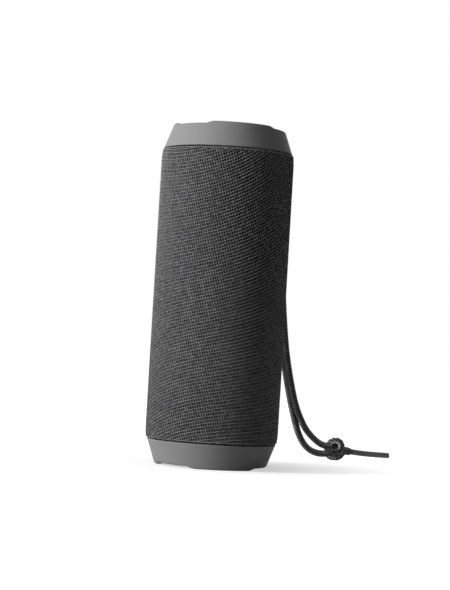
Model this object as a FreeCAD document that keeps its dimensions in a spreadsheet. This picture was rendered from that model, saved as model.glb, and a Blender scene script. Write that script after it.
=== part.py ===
import FreeCAD, Part
import math
import os
import re
import Sketcher

from FreeCAD import Placement, Rotation, Vector

# A splash-proof portable speaker: an upright fabric-covered cylinder with two tapered end caps,
# two front drivers, a passive radiator in each end, a rubber control spine down the back and a
# hanging cord that is looped through the spine and knotted.
# Frame: millimetres, +Z up, origin at the centre of the bottom, drivers toward -Y, spine toward +Y.

DIMENSIONS = [
    ("overall_height", 198.0, "bottom rim to top rim"),
    ("fabric_diameter", 77.0, "outside of the woven sleeve"),
    ("fabric_thickness", 1.0, "woven sleeve with its backing"),
    ("fabric_edge_round", 0.7, "turned edge of the sleeve at each seam"),
    ("cap_height", 14.5, "seam to the end of a cap"),
    ("seam_gap", 0.5, "shadow gap between sleeve and cap"),
    ("seam_step", 0.9, "how far the cap lies inside the sleeve's surface"),
    ("cap_taper", 5.2, "how far a cap narrows from its seam to its end"),
    ("crown_round", 1.5, "rounding of the cap's outer edge"),
    ("cap_side_wall", 2.5, "tapered wall of a cap, measured level"),
    ("cap_deck", 3.2, "thickness under a cap's rim"),
    ("rim_width", 3.9, "rim of a cap, from its outer edge to its mouth"),
    ("mouth_wall", 1.8, "wall round that opening"),
    ("mouth_chamfer", 0.6, "bevel of that opening"),
    ("channel_depth", 1.2, "drain channels across a rim"),
    ("channel_floor", 21.8, "floor width of a channel"),
    ("channel_ramp", 5.0, "sloping side of a channel, measured level"),
    ("channel_count", 3, "channels per rim"),
    ("piece_gap", 0.3, "running and seating clearance"),
    ("fit_gap", 0.1, "close fit of round pieces"),
    ("cage_clearance", 0.2, "sleeve to grille cage"),
    ("cage_wall", 1.6, "wall of the grille cage"),
    ("slot_height", 2.6, "sound slot in the cage"),
    ("slot_width", 30.0, "sound slot in the cage"),
    ("slot_pitch", 4.4, "slot to slot"),
    ("slot_count", 8, "slots in front of a driver"),
    ("shell_wall", 2.4, "wall of the inner shells"),
    ("flange_width", 7.0, "inner flange at each end of the shells"),
    ("gasket_thickness", 0.8, "all flat gaskets"),
    ("gasket_width", 2.0, "gasket between the two shells"),
    ("spine_half_width", 11.0, "half the width of the control spine"),
    ("spine_clearance", 0.2, "shells to spine"),
    ("spine_sink", 0.6, "how far the spine lies inside the sleeve's surface"),
    ("driver_spacing", 66.0, "driver to driver"),
    ("driver_sink", 1.3602, "driver seat below the point where its flange meets the shell"),
    ("basket_rim", 4.7, "basket's body to the edge of its flange"),
    ("basket_flange", 1.5, "thickness of that flange"),
    ("driver_roll", 2.6, "edge of a cone to the basket's body"),
    ("basket_depth", 12.0, "seat to the back of the basket"),
    ("basket_ledge", 6.6, "seat to the spider's ledge"),
    ("basket_skin", 1.2, "pressed sheet of a basket"),
    ("ledge_start", 1.9, "magnet cup to the inner edge of the spider's ledge"),
    ("can_reach", 3.8, "magnet cup to the outside of the basket's back"),
    ("window_width", 9.0, "windows in a basket"),
    ("window_sill", 0.8, "spider's ledge to those windows"),
    ("tunnel_wall", 1.6, "wall of the pocket round a driver"),
    ("cone_radius", 13.2, "edge of a cone"),
    ("cone_depth", 5.1, "edge of a cone to its neck"),
    ("cone_skin", 0.5, "cone, surround and dust cap"),
    ("cone_lip", 1.0, "flat edge of a cone"),
    ("cone_bead", 0.8, "glue bead of the surround on a cone"),
    ("basket_bead", 1.0, "glue bead of the surround on a basket"),
    ("dome_rise", 1.8, "dust cap, edge to crown"),
    ("dome_lift", 0.45, "dust cap's edge to the cone's neck"),
    ("dome_overlap", 0.2, "dust cap beyond the cone's neck"),
    ("coil_radius", 5.3, "outside of a voice coil"),
    ("coil_wall", 0.45, "former and winding"),
    ("coil_reach", 1.0, "coil past the back of the basket"),
    ("spider_skin", 0.4, "centring ring of a coil"),
    ("spider_wave", 0.6, "height of its corrugations"),
    ("spider_edge", 1.2, "flat edge of that ring"),
    ("spider_reach", 2.9, "magnet cup to the outside of that ring"),
    ("yoke_radius", 9.0, "magnet cup"),
    ("yoke_floor", 1.5, "floor of the magnet cup"),
    ("yoke_depth", 18.0, "seat to the back of the magnet cup"),
    ("yoke_rise", 1.1, "magnet cup into the basket"),
    ("yoke_collar", 1.6, "width of the collar behind the basket"),
    ("yoke_collar_thickness", 1.4, "that collar"),
    ("magnet_gap", 0.45, "voice coil to magnet"),
    ("driver_screw_edge", 2.0, "driver's screws to the edge of its flange"),
    ("screw_head_radius", 1.3, "small screws"),
    ("screw_head_height", 1.0, "small screws"),
    ("screw_shank_radius", 0.7, "small screws"),
    ("radiator_margin", 2.2, "passive radiator's frame inside the shells' surface"),
    ("radiator_flange_thickness", 2.4, "that frame"),
    ("radiator_screw_edge", 1.5, "its screws to the edge of that frame"),
    ("roll_width", 4.2, "passive radiator's plate to the opening round it"),
    ("plate_thickness", 2.0, "passive radiator plate"),
    ("plate_ledge", 4.8, "edge of the plate to its raised middle"),
    ("plate_disc_rise", 1.2, "raised middle of the plate"),
    ("radiator_skin", 0.8, "rubber of a passive radiator"),
    ("bead_width", 2.2, "flat glue bead of that rubber on the frame"),
    ("weight_radius", 12.0, "tuning weight under the plate"),
    ("weight_thickness", 4.0, "tuning weight under the plate"),
    ("button_radius", 4.2, "control buttons"),
    ("button_lip", 0.8, "how far a button's retaining flange stands out"),
    ("button_flange", 0.8, "thickness of that flange"),
    ("button_travel", 0.7, "press of a button"),
    ("button_drop", 57.0, "highest button below the top"),
    ("button_pitch", 12.5, "button to button"),
    ("light_radius", 1.4, "status light"),
    ("light_drop", 12.0, "status light below the lowest button"),
    ("switch_height", 2.3, "tact switch with its plunger"),
    ("switch_side", 4.4, "tact switch housing"),
    ("switch_body", 1.4, "tact switch without its plunger"),
    ("plunger_radius", 1.1, "tact switch plunger"),
    ("button_board_half_width", 7.9, "board behind the buttons"),
    ("button_post_spread", 6.6, "posts of that board to the middle"),
    ("button_post_radius", 0.9, "posts of that board"),
    ("board_thickness", 1.6, "printed circuit boards"),
    ("flap_overhang", 1.5, "port flap below the port bay"),
    ("flap_cover", 1.0, "port flap above the port bay"),
    ("flap_overlap", 0.8, "port flap beyond each side of the port bay"),
    ("flap_thickness", 2.0, "panel of the flap"),
    ("flap_axis_sink", 1.3, "flap hinge below the spine's surface"),
    ("knuckle_radius", 0.95, "hinge knuckles of the flap"),
    ("knuckle_half_length", 4.5, "half the length of the flap's knuckle"),
    ("lug_width", 1.9, "each hinge lug on the spine"),
    ("pin_radius", 0.45, "hinge pin"),
    ("bay_wall", 1.6, "walls of the two bays behind the spine"),
    ("port_bay_low", 23.0, "port bay"),
    ("port_bay_high", 45.0, "port bay"),
    ("bay_half_width", 7.2, "half the width of both bays"),
    ("port_bay_depth", 6.4, "port bay floor below the shells' surface"),
    ("socket_reach", 1.0, "how far the sockets stand above the bay floor"),
    ("port_board_rise", 10.2, "port board above the bottom of the port bay"),
    ("port_board_length", 13.2, "port board, front to back"),
    ("usb_half_width", 4.5, "data and charging socket"),
    ("usb_height", 3.2, "data and charging socket"),
    ("usb_length", 9.0, "data and charging socket"),
    ("usb_skin", 0.3, "stamped shell of that socket"),
    ("usb_depth", 6.8, "room for its plug"),
    ("tongue_length", 6.2, "contact tongue in that socket"),
    ("tongue_half_width", 3.15, "contact tongue"),
    ("tongue_thickness", 0.6, "contact tongue"),
    ("aux_bore_radius", 1.8, "jack socket for a 3.5 mm plug"),
    ("aux_bore_depth", 13.5, "jack socket"),
    ("aux_body_side", 6.4, "jack socket housing"),
    ("cord_bay_drop", 30.5, "cord bay below the top"),
    ("cord_bay_length", 15.0, "height of the cord bay"),
    ("cord_bay_depth", 8.4, "cord bay floor below the shells' surface"),
    ("bar_radius", 1.5, "steel bar that the cord goes round"),
    ("bar_sink", 1.8, "bar below the shells' surface"),
    ("cord_radius", 2.0, "hanging cord"),
    ("tail_radius", 1.72, "bare core at the end of the cord"),
    ("knot_radius", 7.0, "knot"),
    ("stub_radius", 2.45, "braid end beyond the knot"),
    ("stub_length", 16.4, "knot centre to the end of the braid"),
    ("cell_radius", 9.2, "battery cells"),
    ("cell_length", 65.0, "battery cells"),
    ("pole_radius", 3.1, "raised pole of a cell"),
    ("pole_height", 1.0, "raised pole of a cell"),
    ("cell_gap", 1.4, "cell to cell, and cell to main board"),
    ("holder_wall", 1.9, "side wall of the battery holder"),
    ("holder_length", 56.0, "battery holder"),
    ("holder_lip", 1.8, "axis of the cells to the front of the holder"),
    ("board_sink", 11.4, "main board's front inside the shells' inner surface"),
    ("main_board_half_width", 20.0, "main board"),
    ("main_board_drop", 47.0, "lower edge of the main board below the middle"),
    ("main_board_length", 98.0, "main board"),
    ("post_radius", 1.8, "board posts"),
    ("boss_radius", 3.0, "screw bosses of the shells"),
    ("boss_inset", 2.6, "screw bosses inside the shells' inner surface"),
    ("boss_length", 9.0, "screw bosses of the front shell"),
    ("case_screw_seat", 11.0, "head seat of the case screws to the split"),
    ("case_screw_head", 2.0, "case screws, head radius"),
    ("case_screw_shank", 1.0, "case screws, shank radius"),
    ("case_screw_pitch", 65.0, "case screw to case screw"),
    ("lead_radius", 0.7, "internal leads"),
]

# Places that several pieces share, as expressions on the sheet's names.
SLEEVE = "fabric_diameter / 2"
SLEEVE_IN = f"({SLEEVE} - fabric_thickness)"
CAGE = f"({SLEEVE_IN} - cage_clearance)"
CAGE_IN = f"({CAGE} - cage_wall)"
SHELL = f"({CAGE_IN} - piece_gap)"
SHELL_IN = f"({SHELL} - shell_wall)"
OPENING = f"({SHELL_IN} - flange_width)"
BOSS = f"({SHELL_IN} - boss_inset)"
SPINE_IN = f"({SHELL} + spine_clearance)"
SPINE = f"({SLEEVE} - spine_sink)"
SEAM = f"({SLEEVE} - seam_step)"
CROWN = f"({SEAM} - cap_taper)"
MOUTH = f"({CROWN} - rim_width)"
SLEEVE_LOW = "(cap_height + seam_gap)"
SLEEVE_HIGH = "(overall_height - cap_height - seam_gap)"
SHELL_LOW = "(cap_height + piece_gap)"
SHELL_HIGH = "(overall_height - cap_height - piece_gap)"
MIDDLE = "(overall_height / 2)"
SPLIT = "(gasket_thickness / 2)"
BASKET_BODY = "(cone_radius + driver_roll)"
BASKET = f"({BASKET_BODY} + basket_rim)"
DRIVER_LOW = f"({MIDDLE} - driver_spacing / 2)"
DRIVER_HIGH = f"({MIDDLE} + driver_spacing / 2)"
DRIVER_SEAT = f"(sqrt({SHELL} ^ 2 - {BASKET} ^ 2) - driver_sink)"
DRIVER_SCREWS = f"({BASKET} - driver_screw_edge)"
CONE_NECK = "(coil_radius + fit_gap)"
MAGNET = "(coil_radius - coil_wall - magnet_gap)"
RADIATOR = f"({SHELL} - radiator_margin)"
RADIATOR_SCREWS = f"({RADIATOR} - radiator_screw_edge)"
PLATE = f"({OPENING} - roll_width)"
PLATE_DISC = f"({PLATE} - plate_ledge)"
FRAME_TOP = "(radiator_flange_thickness + gasket_thickness - piece_gap)"
FRAME_BASE = "(gasket_thickness - piece_gap)"
FLAP_LOW = "(port_bay_low - flap_overhang)"
FLAP_HIGH = "(port_bay_high + flap_cover)"
FLAP_HALF_WIDTH = "(bay_half_width + flap_overlap)"
FLAP_AXIS_DEPTH = f"({SPINE} - flap_axis_sink)"
FLAP_AXIS_HEIGHT = f"({FLAP_HIGH} + knuckle_radius + 2 * piece_gap)"
FLAP_WINDOW_TOP = f"({FLAP_AXIS_HEIGHT} + flap_thickness)"
PORT_FLOOR = f"({SHELL} - port_bay_depth)"
PORT_BOARD_LOW = "(port_bay_low + port_board_rise)"
AUX_HEIGHT = f"({PORT_BOARD_LOW} - aux_body_side / 2)"
SOCKET_FACE = f"({PORT_FLOOR} + socket_reach)"
BAY_FLOOR_BACK = f"({PORT_FLOOR} - bay_wall)"
CORD_BAY_HIGH = "(overall_height - cord_bay_drop)"
CORD_BAY_LOW = f"({CORD_BAY_HIGH} - cord_bay_length)"
CORD_FLOOR = f"({SHELL} - cord_bay_depth)"
BAR_DEPTH = f"({SHELL} - bar_sink)"
BUTTON_TOP = SLEEVE
BUTTON_HIGH = "(overall_height - button_drop)"
BUTTON_FLANGE = "(button_radius + button_lip)"
BUTTON_FLANGE_TOP = f"(sqrt({SPINE_IN} ^ 2 - {BUTTON_FLANGE} ^ 2) - piece_gap)"
SWITCH_TOP = f"({BUTTON_FLANGE_TOP} - button_flange - button_travel - fit_gap)"
BUTTON_BOARD = f"({SWITCH_TOP} - switch_height - board_thickness)"
BOARD_FACE = f"({SHELL_IN} - board_sink)"
BOARD_BACK = f"({BOARD_FACE} + board_thickness)"
MAIN_BOARD_LOW = f"({MIDDLE} - main_board_drop)"
MAIN_BOARD_HIGH = f"({MAIN_BOARD_LOW} + main_board_length)"
CELL_DEPTH = f"({BOARD_FACE} - cell_radius - cell_gap)"
CELL_SPACING = "(2 * cell_radius + cell_gap)"
HOLDER_HALF_WIDTH = f"({CELL_SPACING} / 2 + cell_radius + holder_wall)"

BUTTONS = ["power_button", "pairing_button", "volume_down_button", "play_button", "volume_up_button"]
LIGHT_HEIGHT = f"({BUTTON_HIGH} - button_pitch * {len(BUTTONS) - 1} - light_drop)"
SCREW_TURNS = [45, 135, 225, 315]
SCREW_COUNT = str(len(SCREW_TURNS))
CASE_SCREW_ROWS = 3
SPIDER_WAVES = 6

# What stands on the main board, measured from the middle of its lower edge.
# Square chips: across, up, side, thickness. Capacitors: across, up, radius, length.
CHIPS = [(-9.0, 18.0, 10.0, 1.4), (7.0, 28.0, 12.0, 1.2), (-2.0, 50.0, 14.0, 1.6)]
CAPACITORS = [(-10.0, 74.0, 2.6, 4.0), (10.0, 74.0, 2.6, 4.0)]

doc = FreeCAD.newDocument("speaker")
pieces = {}


def make_sheet():
    """The spreadsheet of driving dimensions, one row each: meaning, value."""
    page = doc.addObject("Spreadsheet::Sheet", "sizes")
    for row, (alias, value, meaning) in enumerate(DIMENSIONS, start=1):
        page.set(f"A{row}", meaning)
        page.set(f"B{row}", str(value))
        page.setAlias(f"B{row}", alias)
    doc.recompute()
    return page


sheet = make_sheet()
ALIASES = {alias for alias, _, _ in DIMENSIONS}


def size(expression):
    """The value of an expression on the sheet's names."""
    return float(sheet.evalExpression(expression))


def linked(expression):
    """The same expression, as another object of the document writes it."""
    return re.sub(r"[a-z_]+", lambda word: "sizes." + word[0] if word[0] in ALIASES else word[0], expression)


def bind(thing, where, expression):
    """Drive one property of an object by the sheet."""
    thing.setExpression(where, linked(expression))


def place(thing, across="0", depth="0", height="0", rotation=None):
    """Put an object at a place that the sheet drives."""
    thing.Placement = Placement(Vector(), rotation or Rotation())
    bind(thing, "Placement.Base.x", across)
    bind(thing, "Placement.Base.y", depth)
    bind(thing, "Placement.Base.z", height)


def keep(thing, label):
    """Name a finished sub-part, which names its file."""
    thing.Label = label
    pieces[label] = thing
    return thing


def new_body(label):
    """A body for one sub-part."""
    return keep(doc.addObject("PartDesign::Body", label), label)


def new_sketch(body, plane, offset="0"):
    """A sketch on one of the body's origin planes, lifted along +Z, +X or +Y by an expression."""
    sketch = body.newObject("Sketcher::SketchObject", "sketch")
    support = next(item for item in body.Origin.OriginFeatures if item.Role == plane)
    sketch.AttachmentSupport = [(support, "")]
    sketch.MapMode = "FlatFace"
    # The normal of the XZ plane is -Y.
    lift = f"-({offset})" if plane == "XZ_Plane" else offset
    bind(sketch, "AttachmentOffset.Base.z", lift)
    return sketch


def hold(sketch, kind, geometry, vertex, expression):
    """Hold one coordinate of a vertex, measured from the sketch's origin."""
    if expression == "0":
        axis = -2 if kind == "DistanceX" else -1
        sketch.addConstraint(Sketcher.Constraint("PointOnObject", geometry, vertex, axis))
        return
    constraint = Sketcher.Constraint(kind, -1, 1, geometry, vertex, size(expression))
    bind(sketch, f"Constraints[{sketch.addConstraint(constraint)}]", expression)


def draw_outline(sketch, corners):
    """A closed outline of straight lines through (across, up) expressions."""
    points = [Vector(size(across), size(up), 0) for across, up in corners]
    first = sketch.GeometryCount
    count = len(points)
    for index in range(count):
        sketch.addGeometry(Part.LineSegment(points[index], points[(index + 1) % count]))
    for index in range(count):
        following = first + (index + 1) % count
        sketch.addConstraint(Sketcher.Constraint("Coincident", first + index, 2, following, 1))
    for index, (across, up) in enumerate(corners):
        hold(sketch, "DistanceX", first + index, 1, across)
        hold(sketch, "DistanceY", first + index, 1, up)


def draw_box(sketch, left, right, low, high):
    """A rectangle."""
    draw_outline(sketch, [(left, low), (right, low), (right, high), (left, high)])


def draw_circle(sketch, across, up, radius):
    """A circle."""
    centre = Vector(size(across), size(up), 0)
    circle = sketch.addGeometry(Part.Circle(centre, Vector(0, 0, 1), size(radius)))
    hold(sketch, "DistanceX", circle, 3, across)
    hold(sketch, "DistanceY", circle, 3, up)
    constraint = Sketcher.Constraint("Radius", circle, size(radius))
    bind(sketch, f"Constraints[{sketch.addConstraint(constraint)}]", radius)


def draw_wall(sketch, outer, inner, start, end, ends, limits):
    """A curved wall between two arcs round the origin, from one turn to another in degrees.

    Its ends are straight, and ends says which coordinate they hold: DistanceX or DistanceY.
    """
    reach = {}
    for name, radius in (("outer", outer), ("inner", inner)):
        turns = []
        for quadrant, limit in zip((start, end), limits):
            ratio = size(limit) / size(radius)
            exact = math.acos(ratio) if ends == "DistanceX" else math.asin(ratio)
            choices = (exact, -exact) if ends == "DistanceX" else (exact, math.pi - exact)
            turns.append(min(choices, key=lambda turn: -math.cos(turn - math.radians(quadrant))))
        while turns[1] < turns[0]:
            turns[1] += 2 * math.pi
        circle = Part.Circle(Vector(), Vector(0, 0, 1), size(radius))
        arc = sketch.addGeometry(Part.ArcOfCircle(circle, turns[0], turns[1]))
        sketch.addConstraint(Sketcher.Constraint("Coincident", arc, 3, -1, 1))
        constraint = Sketcher.Constraint("Radius", arc, size(radius))
        bind(sketch, f"Constraints[{sketch.addConstraint(constraint)}]", radius)
        reach[name] = arc
    for vertex, limit in zip((1, 2), limits):
        a = sketch.getPoint(reach["outer"], vertex)
        b = sketch.getPoint(reach["inner"], vertex)
        line = sketch.addGeometry(Part.LineSegment(a, b))
        sketch.addConstraint(Sketcher.Constraint("Coincident", line, 1, reach["outer"], vertex))
        sketch.addConstraint(Sketcher.Constraint("Coincident", line, 2, reach["inner"], vertex))
        straight = "Vertical" if ends == "DistanceX" else "Horizontal"
        sketch.addConstraint(Sketcher.Constraint(straight, line))
        hold(sketch, ends, line, 1, limit)


def round_place(arm, turn):
    """Where a turn in degrees meets a circle, as two expressions."""
    return f"{arm} * cos({turn})", f"{arm} * sin({turn})"


def volume(body):
    """The body's volume as it now stands."""
    doc.recompute()
    return body.Shape.Volume


def feature(body, kind, sketch, grows, length=None, toward_origin=False):
    """A Pad or Pocket, checked to have added or removed material."""
    before = 0.0 if body.Tip is None else volume(body)
    made = body.newObject("PartDesign::" + kind, kind.lower())
    made.Profile = sketch
    if length is None:
        made.Type = "ThroughAll"
    else:
        bind(made, "Length", length)
    made.Reversed = toward_origin
    body.Tip = made
    change = volume(body) - before
    if (change > 0) != grows or abs(change) < 1e-6:
        raise RuntimeError(f"{body.Label}: {made.Name} changed its volume by {change:.3f}")
    return made


def pad(body, sketch, length, flip=False):
    """Add material along the sketch's own normal, or against it."""
    return feature(body, "Pad", sketch, True, length, flip)


def pocket(body, sketch, length=None, flip=False):
    """Remove material against the sketch's own normal, or along it."""
    return feature(body, "Pocket", sketch, False, length, flip)


def repeat_round(body, source, count):
    """Repeat a feature round the main axis, a whole turn."""
    pattern = body.newObject("PartDesign::PolarPattern", "pattern")
    pattern.Originals = [source]
    axis = next(item for item in body.Origin.OriginFeatures if item.Role == "Z_Axis")
    pattern.Axis = (axis, [""])
    pattern.Angle = 360
    bind(pattern, "Occurrences", count)
    body.Tip = pattern
    doc.recompute()
    return pattern


def repeat_up(body, source, role, pitch, count):
    """Repeat a feature along one of the body's axes."""
    pattern = body.newObject("PartDesign::LinearPattern", "pattern")
    pattern.Originals = [source]
    axis = next(item for item in body.Origin.OriginFeatures if item.Role == role)
    pattern.Direction = (axis, [""])
    bind(pattern, "Length", f"{pitch} * ({count} - 1)")
    bind(pattern, "Occurrences", count)
    body.Tip = pattern
    doc.recompute()
    return pattern


def round_edges(body, radius, centres):
    """Fillet the circular edges that have one of the (radius, height) pairs."""
    doc.recompute()
    base = body.Tip
    names = []
    for number, edge in enumerate(base.Shape.Edges, start=1):
        curve = edge.Curve
        if not isinstance(curve, Part.Circle):
            continue
        for wanted, height in centres:
            near = abs(curve.Radius - size(wanted)) < 1e-4
            if near and abs(curve.Center.z - size(height)) < 1e-4:
                names.append(f"Edge{number}")
    return round_named(body, base, names, radius)


def round_named(body, base, names, radius):
    """Fillet the named edges of a feature."""
    fillet = body.newObject("PartDesign::Fillet", "fillet")
    fillet.Base = (base, names)
    bind(fillet, "Radius", radius)
    body.Tip = fillet
    doc.recompute()
    return fillet


def turned(label, corners):
    """A body of revolution round its own Z axis through (radius, height) expressions."""
    body = new_body(label)
    sketch = new_sketch(body, "XZ_Plane")
    draw_outline(sketch, corners)
    made = body.newObject("PartDesign::Revolution", "revolution")
    made.Profile = sketch
    made.ReferenceAxis = (sketch, ["V_Axis"])
    body.Tip = made
    doc.recompute()
    return body


def plate(label, plane, base, thickness, left, right, low, high):
    """A flat rectangular plate."""
    body = new_body(label)
    sketch = new_sketch(body, plane, base)
    draw_box(sketch, left, right, low, high)
    pad(body, sketch, thickness, flip=plane == "XZ_Plane")
    return body


def rod(label, radius, length):
    """A plain round rod along its own Z axis."""
    made = doc.addObject("Part::Cylinder", label)
    bind(made, "Radius", radius)
    bind(made, "Height", length)
    return made


def group(label, shapes):
    """Several separate solids in one sub-part."""
    made = keep(doc.addObject("Part::Feature", label), label)
    made.Shape = Part.makeCompound(shapes)
    return made


# Casing: the woven sleeve, the cage under it, the two shells and the end caps.


def make_slotted_tube(label, outer, inner):
    """A tube open along the back, where the spine lies."""
    body = new_body(label)
    sketch = new_sketch(body, "XY_Plane", SLEEVE_LOW)
    edge = "(spine_half_width + piece_gap)"
    draw_wall(sketch, outer, inner, 90, 90, "DistanceX", [f"-{edge}", edge])
    pad(body, sketch, f"{SLEEVE_HIGH} - {SLEEVE_LOW}")
    return body


def make_fabric_sleeve():
    """The woven sleeve with turned edges at both seams."""
    body = make_slotted_tube("fabric_sleeve", SLEEVE, SLEEVE_IN)
    round_edges(body, "fabric_edge_round", [(SLEEVE, SLEEVE_LOW), (SLEEVE, SLEEVE_HIGH)])


def make_grille_cage():
    """The stiff cage that carries the sleeve, with sound slots in front of each driver."""
    body = make_slotted_tube("grille_cage", CAGE, CAGE_IN)
    for height in (DRIVER_LOW, DRIVER_HIGH):
        sketch = new_sketch(body, "XZ_Plane")
        low = f"({height} - slot_pitch * (slot_count - 1) / 2 - slot_height / 2)"
        draw_box(sketch, "-slot_width / 2", "slot_width / 2", low, f"{low} + slot_height")
        slot = pocket(body, sketch, flip=True)
        repeat_up(body, slot, "Z_Axis", "slot_pitch", "slot_count")


def make_end_cap(label, upper):
    """A tapered cap with an open mouth and drain channels across its rim."""
    inner_high = "(cap_height - cap_deck)"
    slope = "(cap_taper / cap_height)"
    body = turned(
        label,
        [
            (SEAM, "0"),
            (CROWN, "cap_height"),
            (f"{MOUTH} + mouth_chamfer", "cap_height"),
            (MOUTH, "cap_height - mouth_chamfer"),
            (MOUTH, FRAME_TOP),
            (f"{MOUTH} + mouth_wall", FRAME_TOP),
            (f"{MOUTH} + mouth_wall", inner_high),
            (f"{SEAM} - {slope} * {inner_high} - cap_side_wall", inner_high),
            (f"{SEAM} - cap_side_wall", "0"),
        ],
    )
    round_edges(body, "crown_round", [(CROWN, "cap_height")])
    sketch = new_sketch(body, "XZ_Plane")
    floor = "(channel_floor / 2)"
    ramp = "(channel_floor / 2 + channel_ramp)"
    draw_outline(
        sketch,
        [
            (f"-{floor}", "cap_height - channel_depth"),
            (floor, "cap_height - channel_depth"),
            (ramp, "cap_height"),
            (ramp, "cap_height + channel_depth"),
            (f"-{ramp}", "cap_height + channel_depth"),
            (f"-{ramp}", "cap_height"),
        ],
    )
    channel = pocket(body, sketch, flip=True)
    repeat_round(body, channel, "channel_count")
    if upper:
        place(body, height="overall_height - cap_height")
    else:
        place(body, height="cap_height", rotation=Rotation(Vector(0, 1, 0), 180))


def case_screw_heights():
    """Heights of the case screws, as expressions."""
    middle = (CASE_SCREW_ROWS - 1) / 2
    return [f"({MIDDLE} + case_screw_pitch * {step - middle})" for step in range(CASE_SCREW_ROWS)]


def case_screw_places():
    """The case screws on both sides, as (across, height) expressions."""
    return [(side, height) for side in (BOSS, f"-{BOSS}") for height in case_screw_heights()]


def make_shell(label, front):
    """What both shells share: half a tube with half a flange at each end, bosses and pilot holes."""
    body = new_body(label)
    limits = [f"-{SPLIT}"] * 2 if front else [SPLIT] * 2
    lengths = [
        (SHELL_LOW, f"{SHELL_HIGH} - {SHELL_LOW}", SHELL_IN),
        (SHELL_LOW, "shell_wall", OPENING),
        (f"({SHELL_HIGH} - shell_wall)", "shell_wall", OPENING),
    ]
    for base, length, inner in lengths:
        sketch = new_sketch(body, "XY_Plane", base)
        draw_half(sketch, SHELL, inner, front, limits)
        pad(body, sketch, length)
    return body


def draw_half(sketch, outer, inner, front, limits):
    """Half a ring on one side of the split."""
    start, end = (180, 360) if front else (0, 180)
    draw_wall(sketch, outer, inner, start, end, "DistanceY", limits)


def trim_outside(body):
    """Turn away whatever stands outside the shells' round surface."""
    before = volume(body)
    sketch = new_sketch(body, "XZ_Plane")
    draw_box(sketch, SHELL, "fabric_diameter", "0", "overall_height")
    made = body.newObject("PartDesign::Groove", "groove")
    made.Profile = sketch
    made.ReferenceAxis = (sketch, ["V_Axis"])
    body.Tip = made
    if volume(body) >= before:
        raise RuntimeError(f"{body.Label}: the trimming groove cut nothing")


def add_case_bosses(body, base, length, flip):
    """Six bosses for the case screws along both sides."""
    sketch = new_sketch(body, "XZ_Plane", base)
    for across, height in case_screw_places():
        draw_circle(sketch, across, height, "boss_radius")
    pad(body, sketch, length, flip)


def cut_circles(body, base, radius, length, flip, places):
    """Round pockets across the body at several (across, height) places."""
    sketch = new_sketch(body, "XZ_Plane", base)
    for across, height in places:
        draw_circle(sketch, across, height, radius)
    pocket(body, sketch, length, flip)


def cut_frame_pilots(body, turns):
    """Pilot holes for the passive radiators' screws, through both flanges."""
    sketch = new_sketch(body, "XY_Plane", SHELL_HIGH)
    for turn in turns:
        across, depth = round_place(RADIATOR_SCREWS, turn)
        draw_circle(sketch, across, depth, "screw_shank_radius + fit_gap")
    pocket(body, sketch)


def screw_places(height):
    """The four screw places round a driver, as (across, height) expressions."""
    places = []
    for turn in SCREW_TURNS:
        across, up = round_place(DRIVER_SCREWS, turn)
        places.append((across, f"{height} + {up}"))
    return places


def make_front_shell():
    """The front shell with a seat and a tunnel for each driver."""
    body = make_shell("front_shell", True)
    tunnel = f"({BASKET} + fit_gap * 2 + tunnel_wall)"
    seat_back = f"({DRIVER_SEAT} - shell_wall)"
    drivers = [("0", DRIVER_LOW), ("0", DRIVER_HIGH)]
    sketch = new_sketch(body, "XZ_Plane", f"-{seat_back}")
    for across, height in drivers:
        draw_circle(sketch, across, height, tunnel)
    pad(body, sketch, f"{SHELL} - {seat_back} + shell_wall")
    add_case_bosses(body, f"-{SPLIT}", "boss_length", False)
    trim_outside(body)
    cut_circles(body, f"-{DRIVER_SEAT}", f"{BASKET} + fit_gap * 2", None, True, drivers)
    cut_circles(body, f"-{seat_back}", f"{BASKET_BODY} + fit_gap * 2", None, True, drivers)
    for _, height in drivers:
        places = screw_places(height)
        cut_circles(body, f"-{seat_back}", "screw_shank_radius + fit_gap", None, True, places)
    bosses = case_screw_places()
    cut_circles(body, f"-{SPLIT}", "case_screw_shank + fit_gap", "boss_length - bay_wall", True, bosses)
    cut_frame_pilots(body, [225, 315])


def add_bay(body, floor, low, high):
    """The solid walls round a bay, before it is cut out."""
    sketch = new_sketch(body, "XZ_Plane", f"({floor} - bay_wall)")
    side = "(bay_half_width + bay_wall)"
    draw_box(sketch, f"-{side}", side, f"{low} - bay_wall", f"{high} + bay_wall")
    pad(body, sketch, f"{SHELL} - {floor} + bay_wall", flip=True)


def cut_bay(body, floor, low, high):
    """The room inside a bay, open to the back."""
    sketch = new_sketch(body, "XZ_Plane", floor)
    draw_box(sketch, "-bay_half_width", "bay_half_width", low, high)
    pocket(body, sketch)


def button_heights():
    """Heights of the buttons, from the top, as expressions."""
    return [f"({BUTTON_HIGH} - button_pitch * {step})" for step in range(len(BUTTONS))]


def board_posts():
    """Where the main board's posts stand, as (across, height) expressions."""
    sides = ["(main_board_half_width - post_radius)", "-(main_board_half_width - post_radius)"]
    heights = [f"({MAIN_BOARD_LOW} + 2 * post_radius)", f"({MAIN_BOARD_HIGH} - 2 * post_radius)"]
    return [(side, height) for side in sides for height in heights]


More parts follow.
